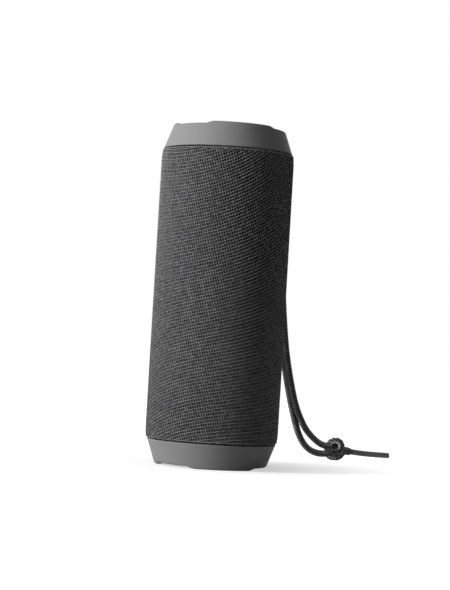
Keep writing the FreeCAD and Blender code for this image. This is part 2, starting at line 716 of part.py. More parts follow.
def make_rear_shell():
    """The rear shell with the port bay, the cord bay, the board posts and the button holes."""
    body = make_shell("rear_shell", False)
    add_bay(body, PORT_FLOOR, "port_bay_low", "port_bay_high")
    add_bay(body, CORD_FLOOR, CORD_BAY_LOW, CORD_BAY_HIGH)
    add_case_bosses(body, SPLIT, f"{SHELL} - {SPLIT}", True)
    sketch = new_sketch(body, "XZ_Plane", BOARD_BACK)
    for across, height in board_posts():
        draw_circle(sketch, across, height, "post_radius")
    pad(body, sketch, f"{SHELL} - {BOARD_BACK}", flip=True)
    button_board_back = f"({BUTTON_BOARD} + board_thickness)"
    sketch = new_sketch(body, "XZ_Plane", button_board_back)
    for across in ("button_post_spread", "-button_post_spread"):
        for step in (0.5, 3.5):
            draw_circle(sketch, across, f"{BUTTON_HIGH} - button_pitch * {step}", "button_post_radius")
    pad(body, sketch, f"{SHELL} - {button_board_back}", flip=True)
    trim_outside(body)
    cut_bay(body, PORT_FLOOR, "port_bay_low", "port_bay_high")
    cut_bay(body, CORD_FLOOR, CORD_BAY_LOW, CORD_BAY_HIGH)
    buttons = [("0", height) for height in button_heights()]
    cut_circles(body, BUTTON_BOARD, f"{BUTTON_FLANGE} + piece_gap + fit_gap", None, False, buttons)
    sketch = new_sketch(body, "XY_Plane", f"({CORD_BAY_LOW} - bay_wall)")
    draw_circle(sketch, "0", BAR_DEPTH, "bar_radius + fit_gap / 2")
    pocket(body, sketch, f"{CORD_BAY_HIGH} - {CORD_BAY_LOW} + 2 * bay_wall", flip=True)
    bosses = case_screw_places()
    cut_circles(body, SPLIT, "case_screw_shank + fit_gap", None, False, bosses)
    cut_circles(body, "case_screw_seat", "case_screw_head + fit_gap * 2", None, False, bosses)
    sketch = new_sketch(body, "XZ_Plane", BAY_FLOOR_BACK)
    usb_low = f"({PORT_BOARD_LOW} + board_thickness)"
    side = "(usb_half_width + fit_gap)"
    draw_box(sketch, f"-{side}", side, f"{usb_low} - fit_gap", f"{usb_low} + usb_height + fit_gap")
    draw_circle(sketch, "0", AUX_HEIGHT, "aux_body_side / 2 - fit_gap * 2")
    pocket(body, sketch)
    cut_frame_pilots(body, [45, 135])


def make_shell_seal():
    """Gasket strips in the split, one along each side."""
    strips = []
    for side in (1, -1):
        wide = size("gasket_width")
        outer = size(SHELL) - size("piece_gap")
        left = outer - wide if side > 0 else -outer
        strip = Part.makeBox(
            wide,
            size("gasket_thickness"),
            size(f"{SHELL_HIGH} - {SHELL_LOW}"),
            Vector(left, -size(SPLIT), size(SHELL_LOW)),
        )
        strips.append(strip)
    group("shell_seal", strips)


def screw(head_radius, head_height, shank_radius, shank_length):
    """A screw with its head standing on the plane z = 0 and its shank below."""
    head = Part.makeCylinder(head_radius, head_height)
    shank = Part.makeCylinder(shank_radius, shank_length, Vector(0, 0, -shank_length))
    length = head_radius
    width = head_radius / 4
    corner = Vector(-length / 2, -width / 2, head_height / 2)
    drive = Part.makeBox(length, width, head_height, corner)
    return head.fuse(shank).cut(drive).removeSplitter()


def make_case_screws():
    """Six screws from the rear shell into the front shell's bosses."""
    head = size("case_screw_head")
    shank = size("case_screw_shank")
    length = size(f"case_screw_seat + {SPLIT} + boss_length - bay_wall - piece_gap")
    shapes = []
    for across, height in case_screw_places():
        shape = screw(head, size("screw_head_height"), shank, length)
        spot = Vector(size(across), size("case_screw_seat"), size(height))
        shape.Placement = Placement(spot, Rotation(Vector(1, 0, 0), -90))
        shapes.append(shape)
    group("case_screws", shapes)


# Drivers: each is built with its seat on the plane z = 0 and the sound toward +Z, then turned to -Y.


def seat_driver(thing, height):
    """Turn a driver's piece to the front and put it on its seat."""
    place(thing, depth=f"-{DRIVER_SEAT}", height=height, rotation=Rotation(Vector(1, 0, 0), 90))


def make_basket(name, height):
    """The pressed frame of a driver, with four windows and four screw holes."""
    can = "(yoke_radius + can_reach)"
    collar = "(yoke_radius + fit_gap)"
    body = turned(
        f"{name}_driver_basket",
        [
            (BASKET, "0"),
            (BASKET, "basket_flange"),
            (f"{BASKET_BODY} - cone_skin", "basket_flange"),
            (f"{BASKET_BODY} - 2 * cone_skin", "0"),
            (f"{can} - fit_gap", "-basket_ledge"),
            ("yoke_radius + ledge_start", "-basket_ledge"),
            ("yoke_radius + ledge_start", "-basket_ledge - basket_skin"),
            (f"{can} - basket_skin", "-basket_ledge - basket_skin"),
            (f"{can} - basket_skin", "-basket_depth + basket_skin"),
            (collar, "-basket_depth + basket_skin"),
            (collar, "-basket_depth"),
            (can, "-basket_depth"),
            (can, "-basket_ledge - basket_skin"),
            (f"{can} + basket_skin", "-basket_ledge"),
            (BASKET_BODY, "0"),
        ],
    )
    sketch = new_sketch(body, "XZ_Plane")
    side = "(window_width / 2)"
    draw_box(sketch, f"-{side}", side, "-basket_ledge + window_sill", "-basket_skin")
    repeat_round(body, pocket(body, sketch), SCREW_COUNT)
    sketch = new_sketch(body, "XY_Plane", "basket_flange")
    across, up = round_place(DRIVER_SCREWS, SCREW_TURNS[0])
    draw_circle(sketch, across, up, "screw_shank_radius + fit_gap")
    repeat_round(body, pocket(body, sketch), SCREW_COUNT)
    seat_driver(body, height)


def make_motor(name, height):
    """The magnet cup behind the basket and the magnet with its pole disc."""
    floor = "(-yoke_depth + yoke_floor)"
    bore = "(coil_radius + piece_gap * 1.5)"
    top = "(-basket_depth + yoke_rise)"
    yoke = turned(
        f"{name}_driver_yoke",
        [
            ("0", "-yoke_depth"),
            ("yoke_radius", "-yoke_depth"),
            ("yoke_radius", "-basket_depth - yoke_collar_thickness"),
            ("yoke_radius + yoke_collar", "-basket_depth - yoke_collar_thickness"),
            ("yoke_radius + yoke_collar", "-basket_depth"),
            ("yoke_radius", "-basket_depth"),
            ("yoke_radius", top),
            (bore, top),
            (bore, floor),
            ("0", floor),
        ],
    )
    magnet = turned(
        f"{name}_driver_magnet",
        [
            ("0", floor),
            (f"{MAGNET} - fit_gap", floor),
            (f"{MAGNET} - fit_gap", f"{top} - yoke_floor"),
            (MAGNET, f"{top} - yoke_floor"),
            (MAGNET, top),
            ("0", top),
        ],
    )
    seat_driver(yoke, height)
    seat_driver(magnet, height)


def make_moving_parts(name, height):
    """The cone, its voice coil, and the dust cap."""
    rim = "(basket_flange - cone_skin)"
    neck = "(basket_flange - cone_depth)"
    cone = turned(
        f"{name}_driver_cone",
        [
            (CONE_NECK, neck),
            ("cone_radius - cone_lip", "basket_flange"),
            ("cone_radius", "basket_flange"),
            ("cone_radius", rim),
            ("cone_radius - cone_bead", rim),
            (CONE_NECK, f"{neck} - cone_skin"),
        ],
    )
    coil = turned(
        f"{name}_driver_coil",
        [
            ("coil_radius - coil_wall", "-basket_depth - coil_reach"),
            ("coil_radius", "-basket_depth - coil_reach"),
            ("coil_radius", neck),
            ("coil_radius - coil_wall", neck),
        ],
    )
    seat_driver(cone, height)
    seat_driver(coil, height)
    edge = f"({neck} + dome_lift)"
    ball = f"((({CONE_NECK} + dome_overlap) ^ 2 + dome_rise ^ 2) / (2 * dome_rise))"
    shells = []
    for tag, radius in (("outside", ball), ("inside", f"{ball} - cone_skin")):
        sphere = doc.addObject("Part::Sphere", f"{name}_dome_{tag}")
        bind(sphere, "Radius", radius)
        place(sphere, height=f"{edge} - {ball} + dome_rise")
        shells.append(sphere)
    shell = doc.addObject("Part::Cut", f"{name}_dome_shell")
    shell.Base, shell.Tool = shells
    block = rod(f"{name}_dome_block", "cone_radius", "dome_rise")
    place(block, height=edge)
    cap = keep(doc.addObject("Part::Common", f"{name}_driver_dust_cap"), f"{name}_driver_dust_cap")
    cap.Base, cap.Tool = shell, block
    seat_driver(cap, height)


def make_half_roll(label, inner, outer, base, skin, bead_in, bead_out):
    """A rubber half roll between two radii, with a flat glue bead at each edge."""
    middle = f"(({inner} + {outer}) / 2)"
    reach = f"(({outer} - {inner}) / 2)"
    rings = []
    for tag, radius in (("outside", reach), ("inside", f"{reach} - {skin}")):
        ring = doc.addObject("Part::Torus", f"{label}_{tag}")
        bind(ring, "Radius1", middle)
        bind(ring, "Radius2", radius)
        place(ring, height=base)
        rings.append(ring)
    hollow = doc.addObject("Part::Cut", f"{label}_hollow")
    hollow.Base, hollow.Tool = rings
    block = rod(f"{label}_block", f"{outer} + {skin}", reach)
    place(block, height=base)
    roll = doc.addObject("Part::Common", f"{label}_roll")
    roll.Base, roll.Tool = hollow, block
    beads = []
    for tag, near, far in (("edge", inner, bead_in), ("rim", outer, bead_out)):
        low, high = (far, near) if tag == "edge" else (near, far)
        low = f"{low} - {skin}" if tag == "rim" else low
        high = f"{high} + {skin}" if tag == "edge" else high
        disc = rod(f"{label}_{tag}_disc", high, skin)
        bore = rod(f"{label}_{tag}_bore", low, skin)
        place(disc, height=base)
        place(bore, height=base)
        bead = doc.addObject("Part::Cut", f"{label}_{tag}_bead")
        bead.Base, bead.Tool = disc, bore
        beads.append(bead)
    whole = keep(doc.addObject("Part::MultiFuse", label), label)
    whole.Shapes = [roll] + beads
    whole.Refine = True
    return whole


def make_spider(name, height):
    """The corrugated ring that centres the voice coil."""
    body = new_body(f"{name}_driver_spider")
    base = "-basket_ledge"
    start = "(coil_radius + fit_gap)"
    rim = "(yoke_radius + spider_reach)"
    end = f"({rim} - spider_edge)"
    upper, lower = [], []
    for step in range(SPIDER_WAVES + 1):
        radius = f"({start} + ({end} - {start}) * {step} / {SPIDER_WAVES})"
        lift = f"{base} + spider_wave * {step % 2}"
        lower.append((radius, lift))
        upper.append((radius, f"{lift} + spider_skin"))
    lower.append((rim, base))
    upper.append((rim, f"{base} + spider_skin"))
    sketch = new_sketch(body, "XZ_Plane")
    draw_outline(sketch, lower + upper[::-1])
    made = body.newObject("PartDesign::Revolution", "revolution")
    made.Profile = sketch
    made.ReferenceAxis = (sketch, ["V_Axis"])
    body.Tip = made
    seat_driver(body, height)


def make_driver(name, height):
    """One complete driver."""
    make_basket(name, height)
    make_motor(name, height)
    make_moving_parts(name, height)
    make_spider(name, height)
    roll = make_half_roll(
        f"{name}_driver_surround",
        "cone_radius",
        BASKET_BODY,
        "basket_flange",
        "cone_skin",
        "cone_radius - cone_bead",
        f"{BASKET_BODY} + basket_bead",
    )
    seat_driver(roll, height)


def make_driver_screws():
    """Four screws round each driver."""
    shapes = []
    for height in (DRIVER_LOW, DRIVER_HIGH):
        for across, up in screw_places(height):
            shape = screw(
                size("screw_head_radius"),
                size("screw_head_height"),
                size("screw_shank_radius"),
                size("basket_flange + shell_wall - fit_gap"),
            )
            spot = Vector(size(across), -size(f"{DRIVER_SEAT} + basket_flange"), size(up))
            shape.Placement = Placement(spot, Rotation(Vector(1, 0, 0), 90))
            shapes.append(shape)
    group("driver_screws", shapes)


# Passive radiators: built on the plane z = 0 of the upper seam, and turned over for the lower end.


def seat_radiator(thing, upper):
    """Put a passive radiator's piece at its seam."""
    if upper:
        place(thing, height="overall_height - cap_height")
    else:
        place(thing, height="cap_height", rotation=Rotation(Vector(0, 1, 0), 180))


def make_radiator(name, upper):
    """One passive radiator: frame, rubber roll, plate and tuning weight."""
    frame = turned(
        f"{name}_radiator_frame",
        [
            (OPENING, FRAME_BASE),
            (RADIATOR, FRAME_BASE),
            (RADIATOR, FRAME_TOP),
            (OPENING, FRAME_TOP),
        ],
    )
    sketch = new_sketch(frame, "XY_Plane", FRAME_TOP)
    across, depth = round_place(RADIATOR_SCREWS, SCREW_TURNS[0])
    draw_circle(sketch, across, depth, "screw_shank_radius + fit_gap")
    repeat_round(frame, pocket(frame, sketch), SCREW_COUNT)
    disc = turned(
        f"{name}_radiator_plate",
        [
            ("0", f"{FRAME_TOP} - plate_thickness"),
            (PLATE, f"{FRAME_TOP} - plate_thickness"),
            (PLATE, FRAME_TOP),
            (f"{PLATE_DISC} + plate_disc_rise", FRAME_TOP),
            (PLATE_DISC, f"{FRAME_TOP} + plate_disc_rise"),
            ("0", f"{FRAME_TOP} + plate_disc_rise"),
        ],
    )
    under = f"({FRAME_TOP} - plate_thickness)"
    weight = turned(
        f"{name}_radiator_weight",
        [
            ("0", f"{under} - weight_thickness"),
            ("weight_radius", f"{under} - weight_thickness"),
            ("weight_radius", under),
            ("0", under),
        ],
    )
    roll = make_half_roll(
        f"{name}_radiator_surround",
        PLATE,
        OPENING,
        FRAME_TOP,
        "radiator_skin",
        f"{PLATE_DISC} + plate_disc_rise + piece_gap",
        f"{OPENING} + bead_width",
    )
    for thing in (frame, disc, weight, roll):
        seat_radiator(thing, upper)


def make_radiator_seals():
    """The two gaskets between the shells and the passive radiators."""
    rings = []
    thickness = size("gasket_thickness")
    for base in (f"{SHELL_LOW} - gasket_thickness", SHELL_HIGH):
        spot = Vector(0, 0, size(base))
        ring = Part.makeCylinder(size(f"{RADIATOR} - fit_gap * 2"), thickness, spot)
        bore = Part.makeCylinder(size(f"{OPENING} + fit_gap * 4"), thickness, spot)
        ring = ring.cut(bore)
        for turn in SCREW_TURNS:
            across, depth = (size(value) for value in round_place(RADIATOR_SCREWS, turn))
            hole = Part.makeCylinder(
                size("screw_shank_radius + fit_gap"),
                thickness,
                spot + Vector(across, depth, 0),
            )
            ring = ring.cut(hole)
        rings.append(ring)
    group("radiator_seals", rings)


def make_radiator_screws():
    """Four screws in each passive radiator's frame."""
    shapes = []
    length = size("radiator_flange_thickness + gasket_thickness + shell_wall - fit_gap")
    for upper in (True, False):
        for turn in SCREW_TURNS:
            shape = screw(
                size("screw_head_radius - fit_gap"),
                size("screw_head_height"),
                size("screw_shank_radius"),
                length,
            )
            across, depth = (size(value) for value in round_place(RADIATOR_SCREWS, turn))
            height = size(f"overall_height - cap_height + {FRAME_TOP}")
            if not upper:
                height = size(f"cap_height - {FRAME_TOP}")
            tilt = Rotation() if upper else Rotation(Vector(1, 0, 0), 180)
            shape.Placement = Placement(Vector(across, depth, height), tilt)
            shapes.append(shape)
    group("radiator_screws", shapes)


# Spine: the rubber strip down the back with the controls, the port flap and the cord bar.


def make_control_spine():
    """The strip itself with its windows, button holes and hinge lugs."""
    body = new_body("control_spine")
    sketch = new_sketch(body, "XY_Plane", SLEEVE_LOW)
    draw_wall(sketch, SPINE, SPINE_IN, 90, 90, "DistanceX", ["spine_half_width", "-spine_half_width"])
    pad(body, sketch, f"{SLEEVE_HIGH} - {SLEEVE_LOW}")
    window = f"({FLAP_HALF_WIDTH} + piece_gap)"
    sketch = new_sketch(body, "XZ_Plane")
    draw_box(sketch, f"-{window}", window, f"{FLAP_LOW} - piece_gap", FLAP_WINDOW_TOP)
    draw_box(sketch, "-bay_half_width", "bay_half_width", CORD_BAY_LOW, CORD_BAY_HIGH)
    for height in button_heights():
        draw_circle(sketch, "0", height, "button_radius + piece_gap")
    draw_circle(sketch, "0", LIGHT_HEIGHT, "light_radius + fit_gap / 2")
    pocket(body, sketch)
    lug_end = "(knuckle_half_length + piece_gap + lug_width)"
    for side in (1, -1):
        base = "(knuckle_half_length + piece_gap)" if side > 0 else f"-{lug_end}"
        sketch = new_sketch(body, "YZ_Plane", base)
        draw_box(
            sketch,
            f"{FLAP_AXIS_DEPTH} - knuckle_radius",
            f"{FLAP_AXIS_DEPTH} + knuckle_radius",
            f"{FLAP_AXIS_HEIGHT} - knuckle_radius",
            f"{FLAP_WINDOW_TOP} + piece_gap",
        )
        pad(body, sketch, "lug_width")
    sketch = new_sketch(body, "YZ_Plane", f"-{lug_end}")
    draw_circle(sketch, FLAP_AXIS_DEPTH, FLAP_AXIS_HEIGHT, "pin_radius + fit_gap / 2")
    pocket(body, sketch, f"2 * {lug_end}", flip=True)


def make_port_flap():
    """The rubber flap over the ports, with its hinge knuckle along the upper edge."""
    body = new_body("port_flap")
    sketch = new_sketch(body, "XY_Plane", FLAP_LOW)
    draw_wall(
        sketch,
        SPINE,
        f"({SPINE} - flap_thickness)",
        90,
        90,
        "DistanceX",
        [FLAP_HALF_WIDTH, f"-{FLAP_HALF_WIDTH}"],
    )
    pad(body, sketch, f"{FLAP_HIGH} - {FLAP_LOW}")
    sketch = new_sketch(body, "YZ_Plane", "-knuckle_half_length")
    draw_circle(sketch, FLAP_AXIS_DEPTH, FLAP_AXIS_HEIGHT, "knuckle_radius")
    draw_neck = new_sketch(body, "YZ_Plane", "-knuckle_half_length")
    draw_box(
        draw_neck,
        f"{FLAP_AXIS_DEPTH} - knuckle_radius * 0.6",
        f"{FLAP_AXIS_DEPTH} + knuckle_radius * 0.6",
        f"{FLAP_HIGH} - piece_gap",
        FLAP_AXIS_HEIGHT,
    )
    pad(body, draw_neck, "2 * knuckle_half_length")
    pad(body, sketch, "2 * knuckle_half_length")
    sketch = new_sketch(body, "YZ_Plane", "-knuckle_half_length")
    draw_circle(sketch, FLAP_AXIS_DEPTH, FLAP_AXIS_HEIGHT, "pin_radius + fit_gap / 2")
    pocket(body, sketch, flip=True)


def make_flap_pin():
    """The steel hinge pin."""
    reach = "(knuckle_half_length + piece_gap + lug_width - fit_gap)"
    pin = keep(rod("flap_pin", "pin_radius", f"2 * {reach}"), "flap_pin")
    place(
        pin,
        across=f"-{reach}",
        depth=FLAP_AXIS_DEPTH,
        height=FLAP_AXIS_HEIGHT,
        rotation=Rotation(Vector(0, 1, 0), 90),
    )


def make_button(label, height):
    """A round button with a retaining flange, pressed toward -Y."""
    body = new_body(label)
    stack = [
        (BUTTON_FLANGE, f"{BUTTON_FLANGE_TOP} - button_flange", "button_flange"),
        ("button_radius", BUTTON_FLANGE_TOP, f"{BUTTON_TOP} - {BUTTON_FLANGE_TOP}"),
    ]
    for radius, base, length in stack:
        sketch = new_sketch(body, "XZ_Plane", base)
        draw_circle(sketch, "0", "0", radius)
        pad(body, sketch, length, flip=True)
    base = body.Tip
    names = []
    for number, edge in enumerate(base.Shape.Edges, start=1):
        if isinstance(edge.Curve, Part.Circle) and abs(edge.Curve.Center.y - size(BUTTON_TOP)) < 1e-4:
            names.append(f"Edge{number}")
    round_named(body, base, names, "spine_sink")
    place(body, height=height)


def make_status_light():
    """The light pipe of the status light."""
    light = keep(rod("status_light", "light_radius", f"{SPINE} - {SPINE_IN} - fit_gap * 2"), "status_light")
    level = Rotation(Vector(1, 0, 0), 90)
    place(light, depth=f"{SPINE} - fit_gap * 2", height=LIGHT_HEIGHT, rotation=level)


def make_cord_bar():
    """The upright steel bar in the cord bay."""
    length = f"{CORD_BAY_HIGH} - {CORD_BAY_LOW} + 2 * bay_wall - 2 * fit_gap"
    bar = keep(rod("cord_bar", "bar_radius", length), "cord_bar")
    place(bar, depth=BAR_DEPTH, height=f"{CORD_BAY_LOW} - bay_wall + fit_gap")


# Electronics: boards, switches, sockets, battery and leads.


def make_button_board():
    """The board behind the buttons, on four short posts."""
    low = f"{button_heights()[-1]} - button_pitch / 2"
    side = "button_board_half_width"
    plate(
        "button_board",
        "XZ_Plane",
        BUTTON_BOARD,
        "board_thickness",
        f"-{side}",
        side,
        low,
        f"{BUTTON_HIGH} + button_pitch / 2",
    )


def make_tact_switches():
    """A tact switch under each button."""
    shapes = []
    base = size(f"{BUTTON_BOARD} + board_thickness")
    side = size("switch_side")
    tall = size("switch_height")
    for height in button_heights():
        level = size(height)
        housing = Part.makeBox(side, size("switch_body"), side, Vector(-side / 2, base, level - side / 2))
        plunger = Part.makeCylinder(size("plunger_radius"), tall, Vector(0, base, level), Vector(0, 1, 0))
        shapes.append(housing.fuse(plunger).removeSplitter())
    group("tact_switches", shapes)


def make_port_board():
    """The level board that carries the two sockets."""
    side = "(bay_half_width + bay_wall)"
    back = f"({BAY_FLOOR_BACK} - fit_gap * 2)"
    plate(
        "port_board",
        "XY_Plane",
        PORT_BOARD_LOW,
        "board_thickness",
        f"-{side}",
        side,
        f"{back} - port_board_length",
        back,
    )


def make_usb_socket():
    """The charging socket with its tongue."""
    base = f"({PORT_BOARD_LOW} + board_thickness)"
    body = plate(
        "usb_socket",
        "XY_Plane",
        base,
        "usb_height",
        "-usb_half_width",
        "usb_half_width",
        f"{SOCKET_FACE} - usb_length",
        SOCKET_FACE,
    )
    sketch = new_sketch(body, "XZ_Plane", SOCKET_FACE)
    side = "(usb_half_width - usb_skin)"
    draw_box(sketch, f"-{side}", side, f"{base} + usb_skin", f"{base} + usb_height - usb_skin")
    pocket(body, sketch, "usb_depth", flip=True)
    tongue = new_sketch(body, "XZ_Plane", f"{SOCKET_FACE} - usb_depth")
    low = f"({base} + usb_height / 2 - tongue_thickness / 2)"
    draw_box(tongue, "-tongue_half_width", "tongue_half_width", low, f"{low} + tongue_thickness")
    pad(body, tongue, "tongue_length", flip=True)


def make_aux_socket():
    """The jack socket hanging under the port board."""
    half = "(aux_body_side / 2)"
    body = new_body("aux_socket")
    back = f"({SOCKET_FACE} - aux_bore_depth - bay_wall)"
    face = f"({BAY_FLOOR_BACK} - fit_gap * 2)"
    sketch = new_sketch(body, "XZ_Plane", back)
    draw_box(sketch, f"-{half}", half, f"{AUX_HEIGHT} - {half}", f"{AUX_HEIGHT} + {half}")
    pad(body, sketch, f"{face} - {back}", flip=True)
    sketch = new_sketch(body, "XZ_Plane", face)
    draw_circle(sketch, "0", AUX_HEIGHT, f"{half} - fit_gap * 3")
    pad(body, sketch, f"{SOCKET_FACE} - {face}", flip=True)
    sketch = new_sketch(body, "XZ_Plane", SOCKET_FACE)
    draw_circle(sketch, "0", AUX_HEIGHT, "aux_bore_radius")
    pocket(body, sketch, "aux_bore_depth", flip=True)


def make_main_board():
    """The main board on its four posts."""
    plate(
        "main_board",
        "XZ_Plane",
        BOARD_FACE,
        "board_thickness",
        "-main_board_half_width",
        "main_board_half_width",
        MAIN_BOARD_LOW,
        MAIN_BOARD_HIGH,
    )


def make_board_chips():
    """Amplifier, processor, charger and two capacitors on the back of the main board."""
    base = size(BOARD_BACK)
    bottom = size(MAIN_BOARD_LOW)
    chips = []
    for across, up, side, tall in CHIPS:
        corner = Vector(across - side / 2, base, bottom + up)
        chips.append(Part.makeBox(side, tall, side, corner))
    for across, up, radius, length in CAPACITORS:
        spot = Vector(across, base, bottom + up)
        chips.append(Part.makeCylinder(radius, length, spot, Vector(0, 1, 0)))
    group("board_chips", chips)


def make_battery():
    """Two round cells side by side and the holder that carries them on the main board."""
    cells = []
    low = size(f"{MIDDLE} - cell_length / 2")
    for side in (1, -1):
        spot = Vector(side * size(CELL_SPACING) / 2, size(CELL_DEPTH), low)
        cell = Part.makeCylinder(size("cell_radius"), size("cell_length"), spot)
        top = spot + Vector(0, 0, size("cell_length"))
        pole = Part.makeCylinder(size("pole_radius"), size("pole_height"), top)
        cells.append(cell.fuse(pole).removeSplitter())
    group("battery_cells", cells)
    holder = plate(
        "battery_holder",
        "XZ_Plane",
        f"{CELL_DEPTH} + holder_lip",
        f"{BOARD_FACE} - {CELL_DEPTH} - holder_lip",
        f"-{HOLDER_HALF_WIDTH}",
        HOLDER_HALF_WIDTH,
        f"{MIDDLE} - holder_length / 2",
        f"{MIDDLE} + holder_length / 2",
    )
    sketch = new_sketch(holder, "XY_Plane", f"{MIDDLE} - holder_length / 2")
    for side in (f"{CELL_SPACING} / 2", f"-{CELL_SPACING} / 2"):
        draw_circle(sketch, side, CELL_DEPTH, "cell_radius + piece_gap")
    pocket(holder, sketch, flip=True)


# Cords: straight runs joined by tangent arcs.


def tangent_path(points):
    """The wire along a route, and the radius of each of its arcs."""
    edges, radii = [], []
    here = points[0]
    for before, corner, after in zip(points, points[1:], points[2:]):
        back, ahead = (before - corner), (after - corner)
        run = min(back.Length, ahead.Length)
        back.normalize()
        ahead.normalize()
        half_turn = (math.pi - back.getAngle(ahead)) / 2
        radius = 0.45 * run / math.tan(half_turn)
        reach = radius * math.tan(half_turn)
        start, end = corner + back * reach, corner + ahead * reach
        inward = back + ahead
        inward.normalize()
        middle = corner + inward * (radius / math.cos(half_turn) - radius)
        edges.append(Part.LineSegment(here, start).toShape())
        edges.append(Part.Arc(start, middle, end).toShape())
        radii.append(radius)
        here = end
    edges.append(Part.LineSegment(here, points[-1]).toShape())
    return Part.Wire(edges), radii


def tube(name, route, radius):
    """A round tube along a route, with its volume compared with section times length."""
    points = [Vector(*point) for point in route]
    path, radii = tangent_path(points)
    direction = points[1] - points[0]
    section = Part.Wire([Part.makeCircle(radius, points[0], direction)])
    pipe = Part.BRepOffsetAPI.MakePipeShell(path)
    pipe.add(section)
    pipe.build()
    pipe.makeSolid()
    shape = pipe.shape()
    expected = math.pi * radius**2 * path.Length
    listed = ", ".join(f"{value:.1f}" for value in radii)
    print(f"{name}: length {path.Length:.1f}, bend radii {listed}")
    print(f"{name}: volume {shape.Volume:.1f}, section times length {expected:.1f}")
    return shape


LEFT_LEG = [
    (-3.7, 32.7, 160.3),
    (-3.7, 39.6, 154.5),
    (-3.8, 44.5, 146.6),
    (-4.1, 47.4, 137.2),
    (-4.6, 50.6, 126.0),
    (-5.9, 54.4, 114.0),
    (-7.8, 59.3, 100.9),
    (-8.9, 63.1, 82.5),
    (-9.6, 65.9, 70.2),
    (-10.1, 69.7, 56.1),
    (-11.7, 77.5, 37.6),
    (-13.5, 84.2, 25.7),
    (-14.6, 89.3, 17.5),
    (-16.3, 96.3, 11.1),
    (-18.6, 105.0, 7.0),
    (-21.2, 114.6, 4.9),
    (-23.2, 122.9, 4.3),
    (-24.6, 129.9, 4.5),
]
RIGHT_LEG = [
    (3.7, 32.7, 160.3),
    (3.7, 39.6, 154.5),
    (3.6, 44.4, 146.5),
    (3.2, 46.6, 137.0),
    (2.2, 48.2, 126.0),
    (0.2, 51.0, 114.0),
    (-2.4, 55.4, 101.0),
    (-4.0, 60.3, 80.7),
    (-5.4, 65.3, 64.1),
    (-6.7, 73.5, 43.3),
    (-8.0, 79.9, 32.5),
    (-10.8, 89.9, 22.5),
    (-13.9, 98.5, 17.7),
    (-17.7, 109.0, 13.1),
    (-21.2, 119.3, 9.9),
    (-24.3, 129.2, 8.8),
]
TAIL = [
    (-24.6, 145.5, 6.0),
    (-24.9, 156.8, 4.6),
    (-25.4, 168.2, 3.7),
    (-26.2, 179.6, 3.0),
    (-27.3, 191.2, 2.4),
]
KNOT = (-24.9, 135.1, 7.2)
SPEAKER_LEAD = [
    (11.4, -13.0, 66.0),
    (17.5, -9.0, 63.5),
    (24.0, -1.5, 60.5),
    (25.8, 8.0, 58.5),
    (23.5, 16.0, 58.0),
    (17.2, 20.9, 59.6),
]


def make_cord():
    """The bight behind the bar, the two legs, the knot and the bare tail."""
    bight = keep(doc.addObject("Part::Torus", "strap_bight"), "strap_bight")
    start, following = Vector(*RIGHT_LEG[0]), Vector(*RIGHT_LEG[1])
    outward = following - start
    outward.normalize()
    bind(bight, "Radius2", "cord_radius")
    bight.Radius1 = start.x
    bight.Angle3 = 180
    aim = Rotation(Vector(-1, 0, 0), -outward, Vector(), "XYZ")
    bight.Placement = Placement(Vector(0, start.y, start.z), aim)
    for label, route in (("strap_left_leg", LEFT_LEG), ("strap_right_leg", RIGHT_LEG)):
        leg = keep(doc.addObject("Part::Feature", label), label)
        leg.Shape = tube(label, route, size("cord_radius"))
    centre = Vector(*KNOT)
    aim = Vector(*TAIL[0]) - centre
    aim.normalize()
    ball = Part.makeSphere(size("knot_radius"), centre)
    stub = Part.makeCylinder(size("stub_radius"), size("stub_length"), centre, aim)
    knot = keep(doc.addObject("Part::Feature", "strap_knot"), "strap_knot")
    knot.Shape = ball.fuse(stub).removeSplitter()
    tail = keep(doc.addObject("Part::Feature", "strap_tail"), "strap_tail")
    tail.Shape = tube("strap_tail", TAIL, size("tail_radius"))


def make_leads():
    """One lead from each driver to the main board, mirrored about the middle."""
    top = size("overall_height")
    upper = [(-across, depth, top - height) for across, depth, height in SPEAKER_LEAD]
    radius = size("lead_radius")
    group("internal_leads", [tube("lower lead", SPEAKER_LEAD, radius), tube("upper lead", upper, radius)])


def build():
    """Every sub-part of the speaker."""
    make_fabric_sleeve()
    make_grille_cage()
    make_end_cap("upper_end_cap", True)
    make_end_cap("lower_end_cap", False)
    make_front_shell()
    make_rear_shell()
    make_shell_seal()
    make_case_screws()
    for name, height in (("lower", DRIVER_LOW), ("upper", DRIVER_HIGH)):
        make_driver(name, height)
    make_driver_screws()
    make_radiator("upper", True)
    make_radiator("lower", False)
    make_radiator_seals()
    make_radiator_screws()
    make_control_spine()
    make_port_flap()
    make_flap_pin()
    for label, height in zip(BUTTONS, button_heights()):
        make_button(label, height)
    make_status_light()
    make_cord_bar()
    make_button_board()
    make_tact_switches()
    make_port_board()
    make_usb_socket()
    make_aux_socket()
    make_main_board()
    make_board_chips()
    make_battery()
    make_cord()
    make_leads()


def write_parts():
    """Check every object, then write one STEP file per sub-part."""
    doc.recompute()
    for thing in doc.Objects:
        if "Invalid" in thing.State or "Error" in thing.State:
            raise RuntimeError(f"{thing.Label} is {thing.State}")
    for label, thing in pieces.items():
        if thing.Shape.isNull() or not thing.Shape.isValid() or not thing.Shape.Solids:
            raise RuntimeError(f"{label} has no valid solid")
    os.makedirs("parts", exist_ok=True)
    for label, thing in pieces.items():
        thing.Shape.exportStep(f"parts/{label}.step")
    print(f"{len(pieces)} sub-parts written")


build()
write_parts()
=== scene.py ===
"""Looks of a portable shower speaker: woven sleeve, end caps, wrist strap, keys, ports and stage."""

import logging
import math
from collections.abc import Callable, Iterable, Sequence
from dataclasses import dataclass, field
from enum import Enum
from functools import cache

import bmesh
import bpy
from mathutils import Matrix, Vector


